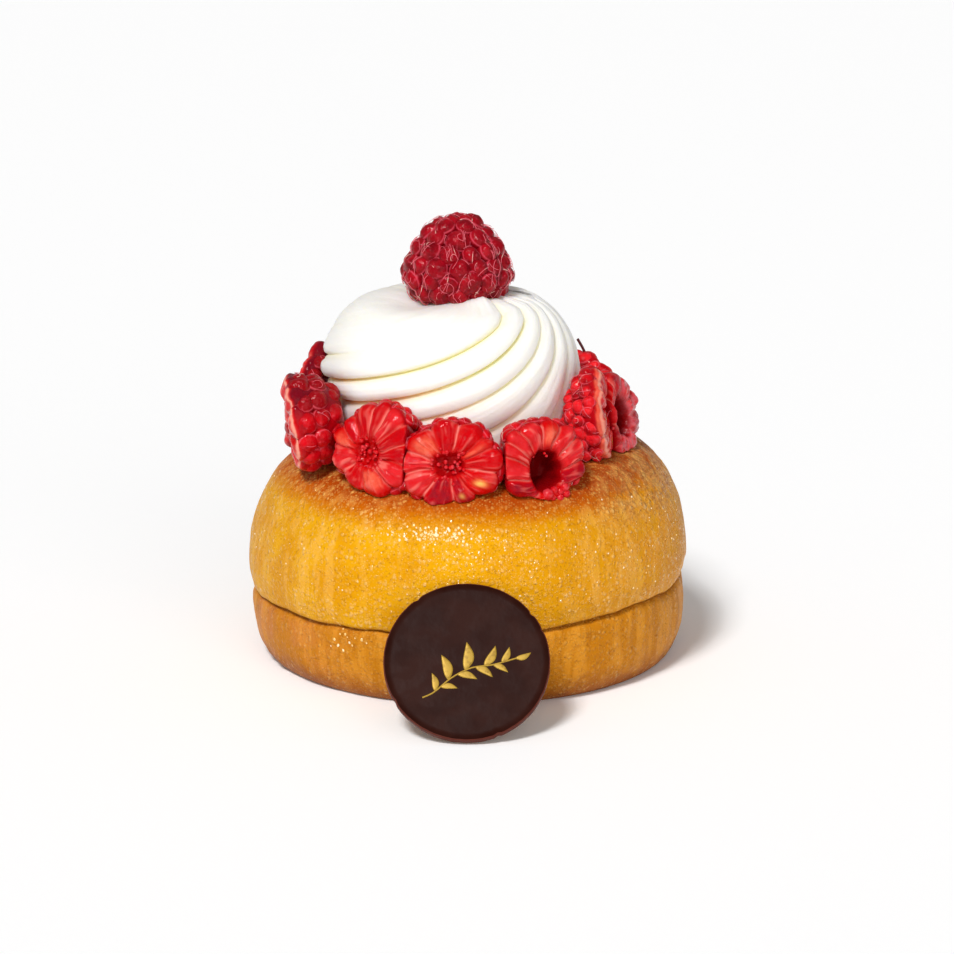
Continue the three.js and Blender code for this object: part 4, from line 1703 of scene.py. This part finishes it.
        # How far the heart's recess is painted dark as shade: fully in a hollow.
        deep = inner * (depth < self.depth * 0.9) * (1.0 if self.hollow else self.heart_dark)
        skin = behind * (1 - rim_side) * (1 - rind)
        streak = smooth(face.fine, 0.1, 0.6) * plain
        measures |= {"streak": streak, "wall": wall, "seed": seed, "rind": rind, "deep": deep, "skin": skin}
        return measures

    def local_spots(self, rng: np.random.Generator) -> Spots:
        """Gives place, way out and radius of the drupelets behind the cut face, in its frame."""
        found = []
        size = self.drupelet * self.skin_size
        level = self.rim + 0.55 * size
        while level < self.depth - 0.1:
            bend = math.asin((level - self.rim) / (self.depth - self.rim))
            reach = self.radius * math.cos(bend) ** 0.62
            count = max(3, round(FULL_TURN * reach / (1.72 * size)))
            first = rng.uniform(0, FULL_TURN)
            for k in range(count):
                turn = first + FULL_TURN * k / count + rng.uniform(-0.08, 0.08)
                out = unit(np.array([math.sin(turn), 0.9 * math.sin(bend), math.cos(turn)]))
                here = reach * float(self.size_at(np.array([turn]))[0])
                sag = self.droop * float(smooth(level, self.rim, self.depth))
                deep = level + rng.uniform(-0.3, 0.3)
                place = np.array([here * math.sin(turn), deep, here * math.cos(turn) - sag])
                radius = size * rng.uniform(0.88, 1.1)
                found.append((place - out * radius * self.sunk, out, radius))
            level += 1.4 * size * max(0.45, math.cos(bend))
        return found

    def spots(self, others: list[CutBerry], fit: Fit) -> Spots:
        """Gives the drupelets of the skin that have room, in the cake's frame."""
        rng = np.random.default_rng(40 + self.number)
        turn = np.array(self.place().to_3x3())
        found = []
        for place, out, size in self.local_spots(rng):
            there = placed(place, self.place())
            if fit.room(there, self, others) > 0.35 * size:
                found.append((there, turn @ out, size))
        return found

    def beads(self) -> Spots:
        """Gives the tiny sacs of juice at the heart, or the few at the edge of a hollow."""
        rng = np.random.default_rng(70 + self.number)
        found = []
        out = np.array([0.0, -1.0, 0.2])
        count = 9 if self.hollow else 38
        low, high = (1.0, 1.25) if self.hollow else (0.1, 1.5)
        for k in range(count):
            turn = k * GOLDEN_ANGLE + rng.uniform(-0.3, 0.3)
            reach = self.heart_share() * self.radius * math.sqrt(rng.uniform(low**2, high**2))
            sunk = self.heart_depth * max(0.0, 1 - (reach / self.heart) ** 2)
            y = 0.35 if self.hollow else sunk - 0.25
            tall = self.hole_tall if self.hollow else 1.0
            spot = (reach * math.sin(turn) + self.core[0], y, reach * tall * math.cos(turn) + self.core[1])
            found.append((placed(np.array(spot), self.place()), out, rng.uniform(0.24, 0.46)))
        for x, z in self.cluster:
            spot = placed(np.array([x, -0.1, z]), self.place())
            found.append((spot, out, rng.uniform(0.75, 1.0)))
        return found

    def hairs(self, others: list[CutBerry], fit: Fit) -> list[np.ndarray]:
        """Gives threads over the skin and a few on the cut face."""
        rng = np.random.default_rng(90 + self.number)
        paths = self.down.paths(self.spots(others, fit), rng)
        out = -np.array(self.place().to_3x3()).T[1]
        for _ in range(self.face_threads):
            turn = rng.uniform(0, FULL_TURN)
            reach = self.radius * rng.uniform(0.35, 0.75)
            spot = np.array([reach * math.sin(turn), 0.25, reach * math.cos(turn)])
            curl = rng.uniform(0.5, 3.0)
            root = placed(spot, self.place())
            paths.append(hair(root, out, rng.uniform(0, math.pi), rng.uniform(2.2, 3.2), curl, 9.0))
        return paths


@dataclass
class Fit:
    """The space that the cut berries share with the cake, the cream and each other."""

    cake: Cake
    cream: Rosette
    gap: float = 0.08
    softness: float = 0.5

    def depths(self, points: np.ndarray, berry: CutBerry, others: list[CutBerry]) -> list[tuple]:
        """Gives, for each neighbour, how far the points are from it and the way back."""
        outline = spline(self.cake.dome_points(), 200)
        reach = np.hypot(points[:, 0], points[:, 1])
        level = np.interp(reach, outline[::-1, 0], outline[::-1, 1])
        level = level + self.cake.tilt * points[:, 0] / self.cake.dome_radius
        walls = [(points[:, 2] - level, np.array([0.0, 0.0, 1.0]))]
        cream = spline(self.cream.outline, 200)
        away = points - np.array([*self.cream.middle, 0.0])
        distance = np.hypot(away[:, 0], away[:, 1])
        rim = np.interp(points[:, 2], cream[:, 1], cream[:, 0]) - 0.9
        out = np.column_stack([away[:, 0], away[:, 1], 0 * distance]) / np.maximum(distance, 1e-6)[:, None]
        walls.append((distance - rim, out))
        for other in others:
            back = berry.middle() - other.middle()
            back[2] = 0.0
            half = np.linalg.norm(back) / 2 + berry.press - other.press
            back = unit(back)
            walls.append(((points - berry.middle()) @ back + half, back))
        return walls

    def pressed(self, points: np.ndarray, berry: CutBerry, others: list[CutBerry]) -> np.ndarray:
        """Moves points out of what the berry touches, softly."""
        for far, way in self.depths(points, berry, others):
            short = np.maximum(self.softness + self.gap - far, 0)
            kept_off = self.gap + self.softness * np.exp(-short / self.softness)
            push = np.where(short > 0, kept_off - far, 0)
            points = points + push[:, None] * way
        return points

    def room(self, point: np.ndarray, berry: CutBerry, others: list[CutBerry]) -> float:
        """Gives how far a point is from the nearest thing that the berry touches."""
        return min(float(far[0]) for far, _ in self.depths(point[None], berry, others))


def ring_of_berries() -> list[CutBerry]:
    """Gives the cut raspberries round the cream, from the front to the right."""
    red, coral, peach, plum = Tone.RED, Tone.CORAL, Tone.PEACH, Tone.PLUM
    front = cells(
        (-25, red, 0.0, 1.02),
        (12, red, 0.0, 1.03, 1.0),
        (48, peach),
        (64, red),
        (100, red, 0.74, 1.03, 0.8),
        (145, plum, 0.8),
        (172, plum, 0.0, 1.0, 0.6),
        (213, coral, 0.0, 1.04, 0.9),
        (252, coral, 0.0, 1.0, 0.7),
        (290, peach, 0.0, 1.0, 0.6),
    )
    left = cells(
        (-42, red, 0.0, 1.04),
        (-10, red, 0.0, 1.05, 0.95),
        (11, coral, 0.0, 1.0, 0.9),
        (40, red, 0.0, 0.93),
        (72, red, 0.0, 0.86, 0.5),
        (104, coral, 0.0, 0.93),
        (146, peach, 0.0, 1.0, 0.4),
        (192, red),
        (230, coral, 0.0, 1.06, 0.7),
        (270, peach, 0.0, 1.05),
        (296, red),
    )
    arch = cells(
        (-30, coral),
        (2, peach),
        (30, coral),
        (58, coral),
        (95, plum),
        (135, red, 0.0, 0.96),
        (205, plum),
        (248, coral),
        (285, coral),
        (308, coral),
    )
    dusk = cells(
        (-20, plum, 0.0, 0.95),
        (18, coral, 0.0, 0.84),
        (60, coral, 0.0, 0.88),
        (98, plum, 0.0, 0.96),
        (140, coral),
        (180, red),
        (222, plum),
        (262, coral),
        (300, red),
    )
    low = (0.2, -3.2)
    sacs = ((0.2, -6.9), (1.4, -6.2), (2.6, -6.6), (1.0, -7.6), (2.4, -7.9), (3.6, -7.2), (3.4, -5.9))
    turned_away = dict(skin_size=1.15, press=-1.0, sunk=0.92, pink_edge=1.0)
    bright = dict(skin_size=0.8, press=0.5, heart_dark=0.25)
    return [
        CutBerry(1, -6.2, 0.1, -0.4, 0, 12, 1.08, 0.88, False, (0.0, -0.4), front, 0.74, 1.3),
        CutBerry(2, 24.4, 0, -0.6, 3, 12, 1.05, 0.86, True, low, arch, 0.9, cluster=sacs),
        CutBerry(3, 65, -4.9, 3.4, 20, 7, 0.98, 1.02, skin_size=0.78, pale_edge=0.9, droop=2.4, depth=7.6),
        CutBerry(4, 79, -3.6, 2.2, -13, 12, 1, 0.93, True, (-0.5, -1.0), dusk),
        CutBerry(5, 122, -3.6, 1.4, 0, 12, 1, 0.95),
        CutBerry(6, 155, -1, 0.2, 4, 13, 1, 0.96, True, low),
        CutBerry(7, -173, 0.3, 0, 0, 12, 1.02, 0.9),
        CutBerry(8, -138, 0, 0.4, -4, 13, 0.97, 0.98),
        CutBerry(9, -99, -1.1, 3.6, -6, 15, 1, 1.2, True, (0.0, -0.8), dusk),
        CutBerry(10, -66.5, 2.7, 2.2, -17, -8, 0.95, 1.05, **turned_away),
        CutBerry(11, -31.5, -0.3, 0.7, -3, 13, 1.05, 0.98, False, (-1.9, -1.0), left, **bright),
    ]


@dataclass
class Spike:
    """The dried spike that sticks up behind the berries at the right."""

    # Across and up of points along it, and how far back it stands.
    path: tuple = ((21.9, 50.4), (21.4, 51.4), (20.9, 52.5), (20.0, 54.1))
    back: float = 15.0
    radius: float = 0.26

    def build(self, dried: Material) -> Object:
        """Makes the spike."""
        line = np.insert(spline(self.path, 12), 1, self.back, axis=1)
        return Threads(self.radius, 7).build("raspberry_spike", [line], dried)


# ---- Chocolate disc ----


@dataclass
class ChocolateDisc:
    """The thin chocolate disc that leans on the cake."""

    back_middle: tuple = (-0.3, -48.63, 11.486)
    lean: float = 37.5
    radius: float = 14.4
    thickness: float = 1.5
    edge: float = 0.22
    columns: int = 360
    # Angle clockwise from the top in degrees, width in degrees and depth in millimetres.
    chips: tuple = ((52, 2.2, 0.28), (66, 1.5, 0.2), (-37, 2.0, 0.24), (-120, 2.5, 0.18), (158, 2.0, 0.2))

    def place(self) -> Matrix:
        """Gives the back's middle, with +X right, +Y up the disc and +Z out of its front."""
        slope = math.radians(self.lean)
        up = Vector((0, math.sin(slope), math.cos(slope)))
        front = Vector((0, -math.cos(slope), math.sin(slope)))
        turn = Matrix((Vector((1, 0, 0)), up, front)).transposed()
        return Matrix.Translation(self.back_middle) @ turn.to_4x4()

    def build(self, chocolate: Material) -> Object:
        """Makes the disc with a soft edge and small chips.

        Args:
            chocolate: The chocolate's material.

        Returns:
            The disc.
        """
        turns = np.arange(self.columns) * FULL_TURN / self.columns
        edge = self.radius + 0 * turns
        for at, width, depth in self.chips:
            off = (turns - math.radians(at) + math.pi) % FULL_TURN - math.pi
            edge -= depth * np.exp(-((off / math.radians(width)) ** 2))
        circle = np.column_stack([np.cos(turns), np.sin(turns), 0 * turns])
        edge += 0.05 * uneven(circle, 0.08, 2.0) - 0.05
        flat = np.linspace(0.08, 1.0, 12)
        bend = np.linspace(0.2, math.pi / 2, 6)
        shares = np.concatenate([flat, np.ones(6), np.ones(6), flat[::-1]])
        even = 0 * flat
        in_turn, up_turn = self.edge * (1 - np.sin(bend)), self.edge * (1 - np.cos(bend))
        inset = np.concatenate([even + self.edge, in_turn, up_turn, even + self.edge])
        level = np.concatenate([even, up_turn, self.thickness - in_turn, even + self.thickness])
        reach = shares[:, None] * (edge[None] - inset[:, None])
        rings = around(turns, reach, level[:, None]) * (1, -1, 1)
        on_edge = (shares > 0.999) & (inset < self.edge * 0.98)
        rim = on_edge[:, None] * np.ones(reach.shape)
        return ringed_piece("chocolate_round", placed(rings, self.place()), chocolate, rim=rim)


@dataclass
class Sprig:
    """A gold sprig of leaves printed on the disc, a plain ornament in the middle of its front."""

    disc: ChocolateDisc
    stem: tuple = ((-7.6, -6.6), (-5.6, -5.6), (-2.6, -3.0), (0.8, -1.2), (4.6, -0.6), (8.6, 0.6))
    # Share of the stem, angle off it in degrees and length in millimetres.
    leaves: tuple = (
        (0.14, 62, 3.4),
        (0.22, -48, 3.0),
        (0.32, 66, 4.8),
        (0.42, -46, 3.6),
        (0.5, 62, 5.2),
        (0.6, -44, 3.6),
        (0.68, 56, 4.2),
        (0.77, -40, 3.0),
        (0.85, 48, 3.2),
        (0.99, 4, 3.0),
    )
    leaf_width: float = 0.36
    height: float = 0.07
    stroke: float = 0.17

    def build(self, gold: Material) -> Object:
        """Makes the stem and its leaves just proud of the disc's front.

        Args:
            gold: The print's material.

        Returns:
            The sprig.
        """
        place = self.disc.place() @ Matrix.Translation((0, 0, self.disc.thickness))
        line = spline(self.stem, 60)
        path = placed(np.column_stack([line, 0 * line[:, 0] - self.stroke * 0.45]), place)
        pieces = [Threads(radius=self.stroke, sides=10).build("sprig_stem", [path], gold)]
        for number, (share, off, length) in enumerate(self.leaves):
            at = share * (len(line) - 1)
            root = line[int(at)]
            way = line[min(int(at) + 2, len(line) - 1)] - line[max(int(at) - 2, 0)]
            turn = math.atan2(way[1], way[0]) + math.radians(off)
            t = np.linspace(0, 1, 18)
            half = self.leaf_width * length * 0.5 * np.sin(math.pi * t**0.8) ** 0.9
            bend = 0.1 * length * np.sin(math.pi * t) * math.copysign(1, -off)
            loop_x = np.r_[t, t[-2:0:-1]] * length
            loop_y = np.r_[half + bend, (bend - half)[-2:0:-1]]
            middle = np.array([0.5 * length, bend[9]])
            rings = []
            for scale, level in ((0.96, -0.06), (1.0, 0.0), (0.96, self.height * 0.7), (0.75, self.height)):
                x = middle[0] + (loop_x - middle[0]) * scale
                y = middle[1] + (loop_y - middle[1]) * scale
                u = root[0] + x * math.cos(turn) - y * math.sin(turn)
                v = root[1] + x * math.sin(turn) + y * math.cos(turn)
                rings.append(np.column_stack([u, v, 0 * u + level]))
            pieces.append(ringed_piece(f"leaf_{number}", placed(np.array(rings), place), gold))
        return merged("gold_sprig", pieces)


# ---- Studio ----


@dataclass
class Studio:
    """Camera, soft light and a pale floor."""

    elevation: float = 15.07
    distance: float = 750.0
    lens: float = 155.31
    aim: tuple = (1.46, 0.0, 31.76)
    sensor: float = 36.0
    nearest: float = 0.05
    # Name, direction to it, how wide it looks in degrees, and strength.
    lights: tuple = (
        ("key_light", (-0.27, -0.57, 0.775), 15.0, 2.4),
        ("front_light", (0.3, -0.9, 0.32), 50.0, 0.8),
        ("glint_light", (-0.27, -0.57, 0.775), 2.5, 0.25),
    )
    sky: str = "FFFFFF"
    sky_strength: float = 0.25
    floor_reach: float = 4.0

    def camera(self) -> None:
        """Sets the camera at the photo's angle."""
        data = bpy.data.cameras.new("camera")
        data.lens = self.lens
        data.sensor_width = self.sensor
        data.clip_start = self.nearest
        piece = linked("camera", data)
        tilt = math.radians(self.elevation)
        back = Vector((0, -math.cos(tilt), math.sin(tilt)))
        piece.location = (Vector(self.aim) + back * self.distance) * MM
        piece.rotation_euler = (math.pi / 2 - tilt, 0, 0)
        bpy.context.scene.camera = piece

    def sun(self, name: str, towards: tuple, spread: float, strength: float) -> None:
        """Adds a wide soft light from far away.

        Args:
            name: The light's name.
            towards: Direction from the cake to the light.
            spread: How wide the light looks from the cake, in degrees.
            strength: Its strength in watts for each square metre.
        """
        data = bpy.data.lights.new(name, "SUN")
        data.angle = math.radians(spread)
        data.energy = strength
        piece = linked(name, data)
        direction = Vector(towards).normalized()
        piece.location = direction
        piece.rotation_euler = direction.to_track_quat("Z", "Y").to_euler()

    def build(self, paper: Material) -> None:
        """Makes the camera, the lights, the sky and the floor."""
        self.camera()
        for light in self.lights:
            self.sun(*light)
        world = bpy.data.worlds.new("studio")
        world.use_nodes = True
        background = world.node_tree.nodes["Background"]
        background.inputs["Color"].default_value = linear(self.sky)
        background.inputs["Strength"].default_value = self.sky_strength
        bpy.context.scene.world = world
        bpy.context.scene.view_settings.view_transform = "Standard"
        corners = np.array([(-1, -1, 0), (1, -1, 0), (1, 1, 0), (-1, 1, 0)]) * self.floor_reach
        mesh = mesh_of("floor", corners, [], [(0, 1, 2, 3)])
        mesh.materials.append(paper)
        linked("floor", mesh)


def main() -> None:
    """Builds the savarin piece by piece."""
    logging.basicConfig(level=logging.INFO, format="%(name)s: %(message)s")
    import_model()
    Studio().build(StudioPaper().material())
    cake, cream = Cake(), Rosette()
    crust = kept(cake.build(SoakedCrust().material()), "soaked_cake", "cake")
    kept(SyrupDrops().build(crust, SyrupDrop().material()), "soaked_cake")
    kept(cream.build(WhippedCream().material()), "whipped_cream", "whipped_cream")
    # Slice skins: painted shade on the berries at the back left, painted light on those at the right.
    juicy = RaspberrySkin(
        name="juicy_raspberry_skin",
        crimson="BE0612",
        dark="86040E",
        bright="D60C1A",
        rim="E25866",
        sheen=0.04,
        shade_from=-26.0,
        glow_from=14.5,
    )
    skin, flesh = RaspberrySkin().material(), RaspberryFlesh().material()
    top = TopBerry()
    kept(top.build(skin), "raspberry", "raspberry_top")
    berries = ring_of_berries()
    fit = Fit(cake, cream)
    spots, beads, hairs = [], [], top.hairs()
    for place, berry in enumerate(berries):
        others = [berries[place - 1], berries[(place + 1) % len(berries)]]
        piece = berry.build(flesh, others, fit)
        kept(piece, "cut_raspberry", f"raspberry_cut_{berry.number:02d}")
        spots += berry.spots(others, fit)
        beads += berry.beads()
        hairs += berry.hairs(others, fit)
    drupelets = Balls(segments=12, rings=8, size_change=0.08, lumps=0.08)
    kept(drupelets.build("cut_raspberry_skins", spots, juicy.material()), "raspberry")
    sacs = Balls(segments=8, rings=5, size_change=0.2, lumps=0.0)
    kept(sacs.build("raspberry_juice_sacs", beads, JuiceBead().material()), "cut_raspberry")
    kept(Threads().build("raspberry_hairs", hairs, RaspberryHair().material()), "raspberry")
    dried = RaspberryHair("raspberry_spike", "4E0C14", "2A080C")
    kept(Spike().build(dried.material()), "raspberry")
    disc = ChocolateDisc()
    kept(disc.build(DarkChocolate().material()), "dark_chocolate", "chocolate_disc")
    kept(Sprig(disc).build(GoldPrint().material()), "dark_chocolate")


if __name__ == "__main__":
    main()
